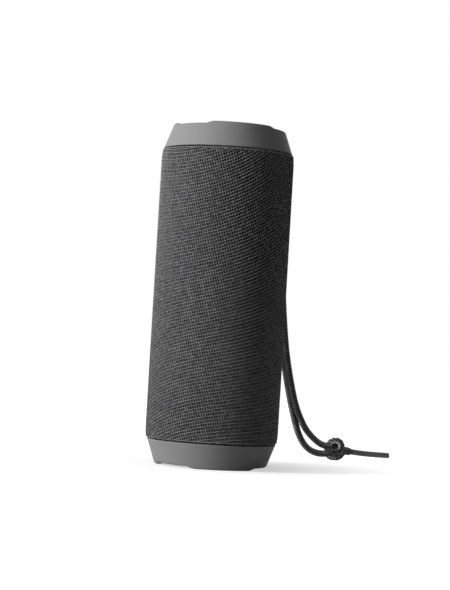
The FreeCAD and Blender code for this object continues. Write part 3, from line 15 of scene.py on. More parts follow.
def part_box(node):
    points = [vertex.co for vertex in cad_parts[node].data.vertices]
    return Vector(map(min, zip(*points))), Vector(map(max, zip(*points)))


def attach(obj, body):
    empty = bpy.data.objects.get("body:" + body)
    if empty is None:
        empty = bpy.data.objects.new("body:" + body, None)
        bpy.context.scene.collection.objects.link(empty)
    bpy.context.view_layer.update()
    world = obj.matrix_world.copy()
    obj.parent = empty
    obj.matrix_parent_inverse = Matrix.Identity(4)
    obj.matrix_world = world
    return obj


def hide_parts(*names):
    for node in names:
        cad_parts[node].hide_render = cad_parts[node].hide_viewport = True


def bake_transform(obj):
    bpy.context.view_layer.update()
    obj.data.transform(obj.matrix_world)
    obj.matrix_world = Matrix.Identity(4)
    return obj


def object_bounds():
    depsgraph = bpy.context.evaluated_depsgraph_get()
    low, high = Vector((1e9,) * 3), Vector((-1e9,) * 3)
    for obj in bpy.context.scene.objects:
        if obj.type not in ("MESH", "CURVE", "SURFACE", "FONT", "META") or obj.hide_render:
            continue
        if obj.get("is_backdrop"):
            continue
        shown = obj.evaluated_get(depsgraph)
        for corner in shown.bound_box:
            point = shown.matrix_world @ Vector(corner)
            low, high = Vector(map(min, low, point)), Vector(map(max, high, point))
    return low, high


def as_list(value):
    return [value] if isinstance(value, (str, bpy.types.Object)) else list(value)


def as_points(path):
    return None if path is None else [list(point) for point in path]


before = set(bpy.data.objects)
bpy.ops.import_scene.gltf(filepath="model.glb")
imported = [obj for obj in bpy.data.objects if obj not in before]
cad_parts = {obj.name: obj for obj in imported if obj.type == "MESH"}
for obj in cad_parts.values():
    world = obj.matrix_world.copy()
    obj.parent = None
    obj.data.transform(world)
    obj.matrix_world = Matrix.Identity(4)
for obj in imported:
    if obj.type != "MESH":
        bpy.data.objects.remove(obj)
CAD_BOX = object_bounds()

LOG = logging.getLogger("shower_speaker")
MM = 0.001
SEAM_LOW = 14.5
SEAM_HIGH = 183.5
MIDDLE = 0.099  # height of the speaker's middle, in metres
VIEW_AZIMUTH = 46.0  # where the camera stands, in degrees
TUCK = 0.8  # how far beyond an edge a stitch may start, as a share of its pitch
OVERLAP = 1.04  # how far one length of thread runs into the next
# How far each stitch may differ, in metres, radians, tone and shares of its size.
STITCH_SWING = {"depth": 0.00009, "lean": 0.12, "tone": 0.25, "plump": 0.14, "long": 0.1}

# The wrist strap's line: control points in metres, from the bar to the knot and on along the bare core.
LEFT_LEG = (
    (-0.0037, 0.0327, 0.1603), (-0.0037, 0.0396, 0.1545), (-0.0038, 0.0445, 0.1466),
    (-0.0041, 0.0474, 0.1372), (-0.0046, 0.0506, 0.1260), (-0.0059, 0.0544, 0.1140),
    (-0.0078, 0.0593, 0.1009), (-0.0089, 0.0631, 0.0825), (-0.0096, 0.0659, 0.0702),
    (-0.0101, 0.0697, 0.0561), (-0.0117, 0.0775, 0.0376), (-0.0135, 0.0842, 0.0257),
    (-0.0146, 0.0893, 0.0175), (-0.0163, 0.0963, 0.0111), (-0.0186, 0.1050, 0.0070),
    (-0.0212, 0.1146, 0.0049), (-0.0232, 0.1229, 0.0043), (-0.0246, 0.1299, 0.0045),
)
RIGHT_LEG = (
    (0.0037, 0.0327, 0.1603), (0.0037, 0.0396, 0.1545), (0.0036, 0.0444, 0.1465),
    (0.0032, 0.0466, 0.1370), (0.0022, 0.0482, 0.1260), (0.0002, 0.0510, 0.1140),
    (-0.0024, 0.0554, 0.1010), (-0.0040, 0.0603, 0.0807), (-0.0054, 0.0653, 0.0641),
    (-0.0067, 0.0735, 0.0433), (-0.0080, 0.0799, 0.0325), (-0.0108, 0.0899, 0.0225),
    (-0.0139, 0.0985, 0.0177), (-0.0177, 0.1090, 0.0131), (-0.0212, 0.1193, 0.0099),
    (-0.0243, 0.1292, 0.0088),
)
TAIL = (
    (-0.0246, 0.1455, 0.0060), (-0.0249, 0.1568, 0.0046), (-0.0254, 0.1682, 0.0037),
    (-0.0262, 0.1796, 0.0030), (-0.0273, 0.1912, 0.0024),
)
KNOT = Vector((-0.0249, 0.1351, 0.0072))
BIGHT_CENTRE = Vector((0.0, 0.0327, 0.1603))


class Wire:
    """A node's output, which adds, multiplies and divides as a number or a vector does."""

    def __init__(self, wiring: "Wiring", socket: bpy.types.NodeSocket) -> None:
        """Keeps the output and the wiring that it belongs to."""
        self.wiring, self.socket = wiring, socket
        self.wide = socket.type in {"VECTOR", "RGBA"}

    def __add__(self, other: object) -> "Wire":
        """This plus another."""
        return self.wiring.math("ADD", self, other)

    def __sub__(self, other: object) -> "Wire":
        """This less another."""
        return self.wiring.math("SUBTRACT", self, other)

    def __rsub__(self, other: object) -> "Wire":
        """A plain value less this."""
        return self.wiring.math("SUBTRACT", other, self)

    def __mul__(self, other: object) -> "Wire":
        """This times another. A number scales a vector."""
        if self.wide and not (isinstance(other, Wire) and other.wide):
            return self.wiring.take("ShaderNodeVectorMath", {0: self, "Scale": other}, operation="SCALE")
        return self.wiring.math("MULTIPLY", self, other)

    def __truediv__(self, other: object) -> "Wire":
        """This divided by another."""
        return self.wiring.math("DIVIDE", self, other)

    def cos_sin(self) -> tuple["Wire", "Wire"]:
        """The cosine and the sine of an angle."""
        return self.wiring.math("COSINE", self), self.wiring.math("SINE", self)


class Wiring:
    """Lays out and joins the nodes of one shader or geometry tree."""

    def __init__(self, tree: bpy.types.NodeTree) -> None:
        """Keeps the tree that the nodes go in."""
        self.tree = tree

    def node(
        self, kind: str, values: dict[int | str, object] | None = None, **settings: object
    ) -> bpy.types.Node:
        """Adds a node, sets its settings and fills its inputs.

        Args:
            kind: Blender's name for the type of node.
            values: What each input gets, by number, identifier or name: a value, an output or a node.
            settings: The node's own settings, such as operation or mode.

        Returns:
            The new node.
        """
        made = self.tree.nodes.new(kind)
        place = len(self.tree.nodes)
        made.location = (190 * (place % 14), -260 * (place // 14))
        for key, value in settings.items():
            setattr(made, key, value)
        for key, value in (values or {}).items():
            self.feed(socket_of(made.inputs, key), value)
        return made

    def take(
        self, kind: str, values: dict[int | str, object] | None = None, output: int | str = 0,
        **settings: object,
    ) -> Wire:
        """Adds a node as node() does, and gives one of its outputs."""
        return Wire(self, socket_of(self.node(kind, values, **settings).outputs, output))

    def feed(self, socket: bpy.types.NodeSocket, value: object) -> None:
        """Joins an output to an input, or sets the input's own value.

        Args:
            socket: The input.
            value: A value, an output, or a node that stands for its first output.
        """
        if isinstance(value, Wire):
            self.tree.links.new(value.socket, socket)
        elif isinstance(value, bpy.types.Node):
            self.tree.links.new(value.outputs[0], socket)
        else:
            socket.default_value = value

    def done(self, outputs: dict[str, object]) -> bpy.types.NodeTree:
        """Gives the group's outputs their values, and gives back its tree."""
        self.node("NodeGroupOutput", outputs)
        return self.tree

    def math(self, operation: str, *values: object) -> Wire:
        """Result of one Math node, or of one Vector Math node where a vector is among the values.

        Args:
            operation: What the node does.
            values: Its inputs.

        Returns:
            Its first output.
        """
        wide = any(isinstance(value, Wire) and value.wide for value in values)
        kind = "ShaderNodeVectorMath" if wide else "ShaderNodeMath"
        return self.take(kind, dict(enumerate(values)), operation=operation)

    def within(self, value: object, low: object, high: object) -> Wire:
        """A number held between two limits."""
        return self.math("MINIMUM", self.math("MAXIMUM", value, low), high)

    def mixed(self, factor: object, first: object, second: object) -> Wire:
        """A colour between two colours."""
        values = {"Factor_Float": factor, "A_Color": first, "B_Color": second}
        return self.take("ShaderNodeMix", values, "Result_Color", data_type="RGBA")

    def ranged(
        self, value: object, low: object, high: object, to_low: object = 0.0, to_high: object = 1.0,
        **settings: object,
    ) -> Wire:
        """A value brought from one range to another, held inside it."""
        values = {"Value": value, "From Min": low, "From Max": high, "To Min": to_low, "To Max": to_high}
        return self.take("ShaderNodeMapRange", values, **settings)

    def place(self) -> Wire:
        """Where a point of the surface lies in its piece."""
        return self.take("ShaderNodeTexCoord", output="Object")

    def noise(self, place: object, scale: object, detail: float) -> Wire:
        """Soft noise at a place."""
        return self.take("ShaderNodeTexNoise", {"Vector": place, "Scale": scale, "Detail": detail})

    def joined(self, across: object, along: object, up: object) -> Wire:
        """A vector from its three parts."""
        return self.take("ShaderNodeCombineXYZ", {"X": across, "Y": along, "Z": up})

    def chance(self, low: float, high: float, seed: object, **index: object) -> Wire:
        """A number that differs from element to element."""
        values = {"Min_001": low, "Max_001": high, "Seed": seed, **index}
        return self.take("FunctionNodeRandomValue", values, "Value_001", data_type="FLOAT")

    def captured(self, geometry: object, fields: dict[str, Wire]) -> dict[str, Wire]:
        """Fixes fields on a geometry's points.

        Args:
            geometry: The geometry.
            fields: The fields, each with a name.

        Returns:
            The geometry under the name Geometry, and each fixed field under its own.
        """
        made = self.node("GeometryNodeCaptureAttribute", {"Geometry": geometry}, domain="POINT")
        for name, value in fields.items():
            made.capture_items.new("FLOAT" if value.socket.type == "VALUE" else value.socket.type, name)
            self.feed(made.inputs[name], value)
        return {name: Wire(self, made.outputs[name]) for name in ("Geometry", *fields)}

    def toned(self, geometry: object, tone: object) -> Wire:
        """Keeps each point's tone for the shader."""
        values = {"Geometry": geometry, "Name": "tone", "Value": tone}
        return self.take("GeometryNodeStoreNamedAttribute", values, data_type="FLOAT", domain="POINT")

    def clad(self, parts: Sequence[Wire], finish: Wire) -> Wire:
        """Joins parts into one smooth real mesh.

        Args:
            parts: The parts, meshes or instances.
            finish: Its finish.

        Returns:
            The mesh.
        """
        both = self.node("GeometryNodeJoinGeometry")
        for part in parts:
            self.feed(both.inputs[0], part)
        soft = self.take("GeometryNodeSetShadeSmooth", {0: both})
        real = self.take("GeometryNodeRealizeInstances", {0: soft})
        return self.take("GeometryNodeSetMaterial", {"Geometry": real, "Material": finish})


def socket_of(sockets: Iterable[bpy.types.NodeSocket], key: int | str) -> bpy.types.NodeSocket:
    """Finds a socket.

    Args:
        sockets: A node's inputs or outputs.
        key: Its number, its identifier, or the name of one that is in use.

    Returns:
        The socket.
    """
    if isinstance(key, int):
        return sockets[key]
    for socket in sockets:
        if socket.identifier == key:
            return socket
    return next(socket for socket in sockets if socket.name == key and socket.enabled)


NUMBER = "NodeSocketFloat"
WHOLE = "NodeSocketInt"
COLOUR = "NodeSocketColor"
VECTOR = "NodeSocketVector"
GEOMETRY = "NodeSocketGeometry"
MATERIAL = "NodeSocketMaterial"


def socket_kind(plain: object) -> str:
    """The type of socket that holds a plain value. The name of a type stands for itself."""
    if isinstance(plain, tuple):
        return COLOUR if len(plain) == 4 else VECTOR
    return plain if isinstance(plain, str) else WHOLE if isinstance(plain, int) else NUMBER


def new_tree(
    name: str, kind: str, inputs: dict[str, object], outputs: dict[str, str]
) -> tuple[Wiring, dict[str, Wire]]:
    """Starts a node group with named inputs and outputs.

    Args:
        name: The group's name.
        kind: ShaderNodeTree or GeometryNodeTree.
        inputs: Name of each input, with its plain value or, where it has none, its type.
        outputs: Name and type of each output.

    Returns:
        The wiring, and what each input gives.
    """
    tree = bpy.data.node_groups.new(name, kind)
    for label, plain in inputs.items():
        socket = tree.interface.new_socket(label, in_out="INPUT", socket_type=socket_kind(plain))
        if not isinstance(plain, str):
            socket.default_value = plain
    for label, socket_type in outputs.items():
        tree.interface.new_socket(label, in_out="OUTPUT", socket_type=socket_type)
    wiring = Wiring(tree)
    given = wiring.node("NodeGroupInput")
    return wiring, {label: Wire(wiring, given.outputs[label]) for label in inputs}


@cache
def surface_life_group() -> bpy.types.NodeTree:
    """Slow changes of colour and roughness, and fine grain, that no real surface is without.

    Returns:
        The group's tree.
    """
    wiring, given = new_tree(
        "surface_life",
        "ShaderNodeTree",
        {
            "Colour": (0.5, 0.5, 0.5, 1.0), "Mottle": 0.1, "Mottle Scale": 90.0, "Grain Scale": 2500.0,
            "Grain Stretch": (1.0, 1.0, 1.0), "Roughness": 0.5, "Roughness Spread": 0.1,
        },
        {"Colour": COLOUR, "Roughness": NUMBER, "Height": NUMBER},
    )
    place = wiring.place()
    cloud = wiring.noise(place, given["Mottle Scale"], 4.0)
    grain = wiring.noise(place * given["Grain Stretch"], given["Grain Scale"], 2.0)
    swing = (cloud - 0.5) * given["Mottle"]
    grit = (grain - 0.5) * given["Mottle"]
    uneven = (cloud - 0.5) * given["Roughness Spread"]
    return wiring.done({
        "Colour": given["Colour"] * (swing * 2.0 + 1.0 + grit),
        "Roughness": given["Roughness"] + uneven,
        "Height": grain,
    })


@cache
def edge_wear_group() -> bpy.types.NodeTree:
    """A mask of rubbed outer edges, broken up by noise.

    Returns:
        The group's tree.
    """
    wiring, given = new_tree(
        "edge_wear", "ShaderNodeTree", {"Amount": 0.3, "Width": 0.05, "Break Up": 400.0}, {"Mask": NUMBER}
    )
    level = 0.51
    edge = wiring.take("ShaderNodeNewGeometry", output="Pointiness")
    mask = wiring.ranged(edge, level, given["Width"] + level)
    speck = wiring.ranged(wiring.noise(wiring.place(), given["Break Up"], 3.0), 0.35, 0.65)
    return wiring.done({"Mask": mask * speck * given["Amount"]})


@cache
def yarn_group() -> bpy.types.NodeTree:
    """Yarn colour from each stitch's own tone, with fine fibres.

    Returns:
        The group's tree.
    """
    wiring, given = new_tree(
        "yarn",
        "ShaderNodeTree",
        {
            "Dark": (0.02, 0.02, 0.02, 1.0), "Light": (0.2, 0.2, 0.2, 1.0),
            "Fibre Scale": 9000.0, "Fibre Contrast": 0.3,
        },
        {"Colour": COLOUR, "Height": NUMBER},
    )
    tone = wiring.take("ShaderNodeAttribute", output="Fac", attribute_name="tone")
    fibre = wiring.noise(wiring.place(), given["Fibre Scale"], 2.0)
    swing = (fibre - 0.5) * given["Fibre Contrast"]
    colour = wiring.mixed(tone, given["Dark"], given["Light"])
    return wiring.done({"Colour": colour * (swing * 2.0 + 1.0), "Height": fibre})


Rgb = tuple[float, float, float]


@dataclass(frozen=True)
class Finish:
    """One finish: its colour and shine, and how its surface varies."""

    name: str
    colour: Rgb
    roughness: float = 0.5
    metallic: float = 0.0
    specular: float = 0.5
    coat: float = 0.0
    sheen: float = 0.0
    mottle: float = 0.1
    mottle_scale: float = 90.0
    grain_scale: float = 2500.0
    grain_depth: float = 0.00002
    grain_stretch: Rgb = (1.0, 1.0, 1.0)
    spread: float = 0.1
    wear: float = 0.0

    def material(self) -> bpy.types.Material:
        """The material of this finish, made once.

        Returns:
            The material.
        """
        title = f"{self.name}_finish"
        made = bpy.data.materials.get(title)
        if made is not None:
            return made
        made = bpy.data.materials.new(title)
        made.use_nodes = True
        made.diffuse_color = (*self.colour, 1.0)
        wiring = Wiring(made.node_tree)
        shader = made.node_tree.nodes["Principled BSDF"]
        shader.inputs["Metallic"].default_value = self.metallic
        shader.inputs["Specular IOR Level"].default_value = self.specular
        shader.inputs["Coat Weight"].default_value = self.coat
        shader.inputs["Sheen Weight"].default_value = self.sheen
        colour, height, depth = self.pattern(wiring)
        life = wiring.node(
            "ShaderNodeGroup",
            {
                "Colour": colour, "Mottle": self.mottle, "Mottle Scale": self.mottle_scale,
                "Grain Scale": self.grain_scale, "Grain Stretch": self.grain_stretch,
                "Roughness": self.roughness, "Roughness Spread": self.spread,
            },
            node_tree=surface_life_group(),
        )
        colour = Wire(wiring, life.outputs["Colour"])
        if self.wear:
            gain, lift = 1.8, 0.03
            paler = tuple(min(1.0, channel * gain + lift) for channel in self.colour)
            worn = wiring.take("ShaderNodeGroup", {"Amount": self.wear}, node_tree=edge_wear_group())
            colour = wiring.mixed(worn, colour, (*paler, 1.0))
        wiring.feed(shader.inputs["Base Color"], colour)
        wiring.feed(shader.inputs["Roughness"], Wire(wiring, life.outputs["Roughness"]))
        height = height or Wire(wiring, life.outputs["Height"])
        relief = wiring.node("ShaderNodeBump", {"Strength": 1.0, "Distance": depth, "Height": height})
        wiring.feed(shader.inputs["Normal"], relief)
        return made

    def pattern(self, wiring: Wiring) -> tuple[object, Wire | None, float]:
        """The plain colour with no relief but the grain. Other kinds of finish differ."""
        return (*self.colour, 1.0), None, self.grain_depth


@dataclass(frozen=True)
class YarnFinish(Finish):
    """Yarn, each stitch or strand with a tone between two colours."""

    light: Rgb = (0.2, 0.2, 0.2)
    fibre_scale: float = 9000.0
    fibre_contrast: float = 0.3
    fibre_depth: float = 0.00003

    def pattern(self, wiring: Wiring) -> tuple[object, Wire | None, float]:
        """The yarn's colour, its fibres and their depth.

        Args:
            wiring: The material's nodes.

        Returns:
            The colour, the height of the relief if it has its own, and how deep the relief is.
        """
        values = {
            "Dark": (*self.colour, 1.0), "Light": (*self.light, 1.0),
            "Fibre Scale": self.fibre_scale, "Fibre Contrast": self.fibre_contrast,
        }
        yarn = wiring.node("ShaderNodeGroup", values, node_tree=yarn_group())
        colour, height = (Wire(wiring, yarn.outputs[name]) for name in ("Colour", "Height"))
        return colour, height, self.fibre_depth


@dataclass(frozen=True)
class BoardFinish(Finish):
    """Printed circuit board: solder mask over copper tracks."""

    track: Rgb = (0.06, 0.26, 0.11)
    track_scale: float = 260.0

    def pattern(self, wiring: Wiring) -> tuple[object, Wire | None, float]:
        """Tracks as straight-edged cells in a paler green.

        Args:
            wiring: The material's nodes.

        Returns:
            The colour, the height of the relief if it has its own, and how deep the relief is.
        """
        cells = wiring.take(
            "ShaderNodeTexVoronoi",
            {"Vector": wiring.place(), "Scale": self.track_scale, "Randomness": 0.9},
            feature="F1", distance="CHEBYCHEV",
        )
        mask = wiring.ranged(wiring.math("PINGPONG", cells, 0.12), 0.045, 0.06)
        return wiring.mixed(mask, (*self.track, 1.0), (*self.colour, 1.0)), None, self.grain_depth


@dataclass(frozen=True)
class BandFinish(Finish):
    """A finish with even bands along one axis, as wound wire or printed wrap has."""

    second: Rgb = (0.1, 0.1, 0.1)
    pitch: float = 0.0004
    axis: str = "Z"

    def pattern(self, wiring: Wiring) -> tuple[object, Wire | None, float]:
        """Bands across the chosen axis.

        Args:
            wiring: The material's nodes.

        Returns:
            The colour, the height of the relief if it has its own, and how deep the relief is.
        """
        along = wiring.take("ShaderNodeSeparateXYZ", {0: wiring.place()}, self.axis) * (1.0 / self.pitch)
        mask = wiring.ranged(wiring.math("PINGPONG", along, 0.5), 0.15, 0.35)
        return wiring.mixed(mask, (*self.colour, 1.0), (*self.second, 1.0)), None, self.grain_depth


WEAVE = YarnFinish(
    "charcoal_weave", (0.06, 0.06, 0.062), 0.8, specular=0.25, sheen=0.3, mottle=0.06, mottle_scale=140.0,
    light=(0.36, 0.36, 0.365), fibre_scale=7000.0, fibre_contrast=0.35, fibre_depth=0.00004,
)
# Near-black, darker than the yarn: painted shade in the gaps between the stitches.
GAP_SHADE_BACKING = Finish(
    "sleeve_backing_painted_shade", (0.006, 0.006, 0.006), 0.9, specular=0.1, mottle=0.3, grain_scale=1800.0,
    grain_depth=0.00008,
)
CAP = Finish(
    "satin_cap_plastic", (0.275, 0.275, 0.28), 0.5, specular=0.05, mottle=0.035, mottle_scale=60.0,
    grain_scale=5200.0, grain_depth=0.000006, spread=0.05, wear=0.25,
)
# The light strands are the braid's grey yarn, made lighter still to stand in for glints on them: partly a
# real two-tone braid, partly painted highlight.
BRAID = YarnFinish(
    "cord_braid", (0.010, 0.010, 0.011), 0.7, specular=0.25, mottle=0.12, mottle_scale=300.0,
    light=(0.62, 0.62, 0.625), fibre_depth=0.00004,
)
CORE = Finish(
    "cord_core", (0.032, 0.032, 0.034), 0.42, specular=0.35, mottle=0.35, mottle_scale=160.0,
    grain_scale=2600.0, grain_stretch=(1.0, 0.06, 1.0), grain_depth=0.00008, spread=0.25,
)
CORE_END = Finish("cut_cord_end", (0.012, 0.012, 0.013), 0.6, mottle=0.3, grain_depth=0.00008)
SPINE_RUBBER = Finish(
    "spine_rubber", (0.028, 0.028, 0.031), 0.62, specular=0.35, mottle=0.12, grain_scale=4200.0,
    grain_depth=0.000012, wear=0.2,
)
BUTTON_RUBBER = Finish(
    "button_rubber", (0.04, 0.04, 0.044), 0.55, specular=0.4, mottle=0.1, grain_scale=4200.0,
    grain_depth=0.00001, wear=0.2,
)
ICON_PRINT = Finish("icon_relief", (0.32, 0.32, 0.33), 0.5, mottle=0.06, grain_depth=0.000006)
GASKET = Finish("gasket_rubber", (0.018, 0.018, 0.018), 0.75, specular=0.3, mottle=0.15)
ROLL = Finish(
    "roll_rubber", (0.018, 0.018, 0.02), 0.5, mottle=0.15, mottle_scale=150.0,
    grain_scale=3000.0, grain_depth=0.000012, spread=0.15,
)
PLATE = Finish(
    "radiator_metal", (0.11, 0.11, 0.115), 0.36, metallic=0.7, mottle=0.05, grain_scale=1400.0,
    grain_stretch=(1.0, 5.0, 1.0), grain_depth=0.000006, spread=0.08, wear=0.3,
)
HOUSING = Finish(
    "housing_plastic", (0.045, 0.045, 0.05), 0.55, specular=0.4, mottle=0.1, grain_scale=3600.0,
    grain_depth=0.000015, wear=0.15,
)
FRAME_PLASTIC = Finish(
    "frame_plastic", (0.05, 0.05, 0.055), 0.5, specular=0.4, mottle=0.1, grain_scale=3600.0,
    grain_depth=0.000012, wear=0.15,
)
STEEL = Finish(
    "steel", (0.55, 0.55, 0.57), 0.32, metallic=1.0, mottle=0.06, grain_scale=1600.0,
    grain_stretch=(0.1, 1.0, 1.0), grain_depth=0.000004, spread=0.12, wear=0.3,
)
PLATED_STEEL = Finish(
    "plated_steel", (0.11, 0.11, 0.115), 0.42, metallic=1.0, mottle=0.08, grain_scale=1600.0,
)
BASKET_STEEL = Finish(
    "basket_steel", (0.05, 0.05, 0.055), 0.45, metallic=0.3, mottle=0.12, grain_scale=3000.0,
    grain_depth=0.00001, wear=0.5,
)
MOTOR_STEEL = Finish(
    "motor_steel", (0.52, 0.53, 0.55), 0.35, metallic=1.0, mottle=0.1, grain_scale=900.0,
    grain_depth=0.000006, spread=0.2,
)
CONE_METAL = Finish(
    "cone_metal", (0.34, 0.34, 0.36), 0.4, metallic=0.9, mottle=0.05, grain_scale=2600.0,
    grain_depth=0.000004,
)
COPPER = BandFinish(
    "coil_copper", (0.70, 0.33, 0.16), 0.35, metallic=1.0, mottle=0.08, second=(0.35, 0.14, 0.06),
    pitch=0.0003, axis="Y", grain_depth=0.000004,
)
SPIDER_CLOTH = Finish(
    "spider_cloth", (0.50, 0.36, 0.16), 0.8, specular=0.3, mottle=0.2, grain_scale=5000.0,
    grain_depth=0.00003,
)
WEIGHT_STEEL = Finish(
    "weight_steel", (0.48, 0.48, 0.50), 0.4, metallic=1.0, mottle=0.08, grain_scale=1200.0,
    grain_depth=0.000005, spread=0.15,
)
LENS = Finish(
    "light_lens", (0.72, 0.74, 0.77), 0.35, coat=0.4, mottle=0.03, grain_scale=6000.0, grain_depth=0.000003,
)
BOARD = BoardFinish(
    "circuit_board", (0.02, 0.13, 0.055), 0.3, coat=0.3, mottle=0.08, grain_scale=5000.0,
    grain_depth=0.000004,
)
CHIP = Finish(
    "chip_plastic", (0.025, 0.025, 0.027), 0.5, mottle=0.12, grain_scale=6000.0, grain_depth=0.000008
)
SOCKET = Finish(
    "socket_metal", (0.58, 0.58, 0.60), 0.28, metallic=1.0, mottle=0.05, grain_scale=1800.0,
    grain_stretch=(1.0, 0.1, 1.0), grain_depth=0.000004, spread=0.12,
)
WRAP = BandFinish(
    "cell_wrap", (0.05, 0.19, 0.40), 0.25, coat=0.3, mottle=0.05, second=(0.045, 0.17, 0.36),
    pitch=0.012, grain_scale=900.0, grain_depth=0.00001,
)
LEAD = Finish(
    "lead_rubber", (0.30, 0.025, 0.025), 0.45, mottle=0.12, grain_scale=3000.0, grain_depth=0.00001
)


def new_piece(name: str, data: bpy.types.ID) -> bpy.types.Object:
    """Puts a mesh, curve, camera or lamp in the scene as a piece, at the origin.

    Args:
        name: Its name.
        data: What it shows.

    Returns:
        The object.
    """
    made = bpy.data.objects.new(name, data)
    bpy.context.scene.collection.objects.link(made)
    return made


def stand_in(piece: bpy.types.Object, body: str, node: str) -> bpy.types.Object:
    """Puts a piece in a CAD node's place and reports it.

    Args:
        piece: The piece.
        body: The body that it rides.
        node: The node that it replaces.

    Returns:
        The piece.
    """
    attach(piece, body)
    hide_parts(node)
    LOG.info("%s: %d faces", piece.name, len(piece.data.polygons))
    return piece


def lying(height: float, way: float, along: float = 0.0) -> Matrix:
    """Points an upright piece out of the back (way -1) or the front (way 1) at a height, in millimetres."""
    return Matrix.Translation((0.0, along, height)) @ Matrix.Rotation(way * math.pi / 2.0, 4, "X")


def smooth(mesh: bpy.types.Mesh, angle: float = 35.0) -> None:
    """Shades a mesh smooth, except across edges sharper than the angle in degrees."""
    mesh.shade_smooth()
    mesh.set_sharp_from_angle(angle=math.radians(angle))


def finished(name: str, work: bmesh.types.BMesh, finish: Finish, angle: float) -> bpy.types.Object:
    """Makes a piece from worked geometry.

    Args:
        name: The piece's name.
        work: The geometry, which is freed.
        finish: Its finish.
        angle: Edges sharper than this stay sharp, in degrees.

    Returns:
        The piece.
    """
    mesh = bpy.data.meshes.new(name)
    work.to_mesh(mesh)
    work.free()
    mesh.materials.append(finish.material())
    smooth(mesh, angle)
    return new_piece(name, mesh)


def build_mesh(
    name: str,
    corners: Sequence[Sequence[float]],
    faces: Sequence[Sequence[int]],
    finishes: Sequence[Finish],
    finish_of: Callable[[Vector], int] | None = None,
    angle: float = 35.0,
) -> bpy.types.Object:
    """Makes a closed piece from corners in millimetres.

    Args:
        name: The piece's name.
        corners: Its corners.
        faces: Corner numbers of each face.
        finishes: Its finishes.
        finish_of: Says which finish a face has, from its middle in millimetres.
        angle: Edges sharper than this stay sharp, in degrees.

    Returns:
        The piece.
    """
    mesh = bpy.data.meshes.new(name)
    mesh.from_pydata([Vector(corner) * MM for corner in corners], [], faces)
    work = bmesh.new()
    work.from_mesh(mesh)
    bmesh.ops.remove_doubles(work, verts=work.verts, dist=0.001 * MM)
    bmesh.ops.recalc_face_normals(work, faces=work.faces)
    work.to_mesh(mesh)
    work.free()
    for finish in finishes:
        mesh.materials.append(finish.material())
    if finish_of is not None:
        for face in mesh.polygons:
            face.material_index = finish_of(face.center / MM)
    smooth(mesh, angle)
    return new_piece(name, mesh)


Section = Sequence[tuple[float, float]]


def turned(
    name: str,
    section: Section,
    finishes: Sequence[Finish],
    placing: Matrix,
    span: tuple[float, float] = (0.0, 360.0),
    steps: int = 96,
    shape: Callable[[float, float, float], tuple[float, float]] | None = None,
    finish_of: Callable[[Vector], int] | None = None,
    angle: float = 35.0,
) -> bpy.types.Object:
    """Turns a closed section about its own upright axis.

    Args:
        name: The piece's name.
        section: Radius and height of each corner, in millimetres.
        finishes: Its finishes.
        placing: Where the axis goes, in millimetres.
        span: First and last angle in degrees. Less than a whole turn gets flat ends.
        steps: Steps round the span.
        shape: Changes radius and height at a radius, angle in radians and height.
        finish_of: Says which finish a face has, from its middle in millimetres.
        angle: Edges sharper than this stay sharp, in degrees.

    Returns:
        The piece.
    """
    wide = span[1] - span[0]
    whole = abs(wide) >= 360.0
    rings = steps if whole else steps + 1
    count = len(section)
    corners, faces = [], []
    for ring in range(rings):
        turn = math.radians(span[0] + wide * ring / steps)
        for radius, height in section:
            if shape is not None:
                radius, height = shape(radius, turn, height)
            corners.append(placing @ Vector((radius * math.cos(turn), radius * math.sin(turn), height)))
    for ring in range(steps):
        after = (ring + 1) % rings
        for corner in range(count):
            along = (corner + 1) % count
            rows = ring * count, after * count
            faces.append((rows[0] + corner, rows[1] + corner, rows[1] + along, rows[0] + along))
    if not whole:
        faces += [tuple(range(count)), tuple(steps * count + corner for corner in reversed(range(count)))]
    return build_mesh(name, corners, faces, finishes, finish_of, angle)


def arc_points(
    centre: tuple[float, float], radius: float, start: float, end: float, steps: int
) -> list[tuple[float, float]]:
    """Points of an arc in the plane, both ends among them, with angles in degrees."""
    turns = (math.radians(start + (end - start) * step / steps) for step in range(steps + 1))
    return [(centre[0] + radius * math.cos(turn), centre[1] + radius * math.sin(turn)) for turn in turns]


def settled_mesh(carrier: bpy.types.Object) -> bpy.types.Mesh:
    """The mesh that a curve or a tree comes out as."""
    return bpy.data.meshes.new_from_object(carrier.evaluated_get(bpy.context.evaluated_depsgraph_get()))


def grown(
    name: str, tree: bpy.types.NodeTree, sizes: dict[str, object], source: bpy.types.Mesh | None = None
) -> bpy.types.Object:
    """Runs a geometry tree once and keeps its plain mesh.

    Args:
        name: The piece's name.
        tree: The tree.
        sizes: What each named input gets.
        source: The mesh that it starts from.

    Returns:
        The piece, with no modifier left on it.
    """
    carrier = new_piece(name, source or bpy.data.meshes.new(name))
    step = carrier.modifiers.new("grow", "NODES")
    step.node_group = tree
    for item in tree.interface.items_tree:
        if item.item_type == "SOCKET" and item.in_out == "INPUT" and item.name in sizes:
            step[item.identifier] = sizes[item.name]
    mesh = settled_mesh(carrier)
    carrier.modifiers.clear()
    carrier.data = mesh
    mesh.name = name
    return carrier


def nurbs_line(name: str, points: Sequence[Sequence[float]]) -> list[Vector]:
    """Reads points along the smooth line that control points give.

    Args:
        name: A name for the curve while it is read.
        points: The control points, in metres.

    Returns:
        Points along the line, in metres.
    """
    curve = bpy.data.curves.new(name, "CURVE")
    curve.dimensions = "3D"
    curve.resolution_u = 16
    spline = curve.splines.new("NURBS")
    spline.points.add(len(points) - 1)
    for control, point in zip(spline.points, points):
        control.co = (*point, 1.0)
    spline.order_u = 3
    spline.use_endpoint_u = True
    carrier = new_piece(name, curve)
    mesh = settled_mesh(carrier)
    line = [vertex.co.copy() for vertex in mesh.vertices]
    bpy.data.objects.remove(carrier)
    bpy.data.curves.remove(curve)
    bpy.data.meshes.remove(mesh)
    return line


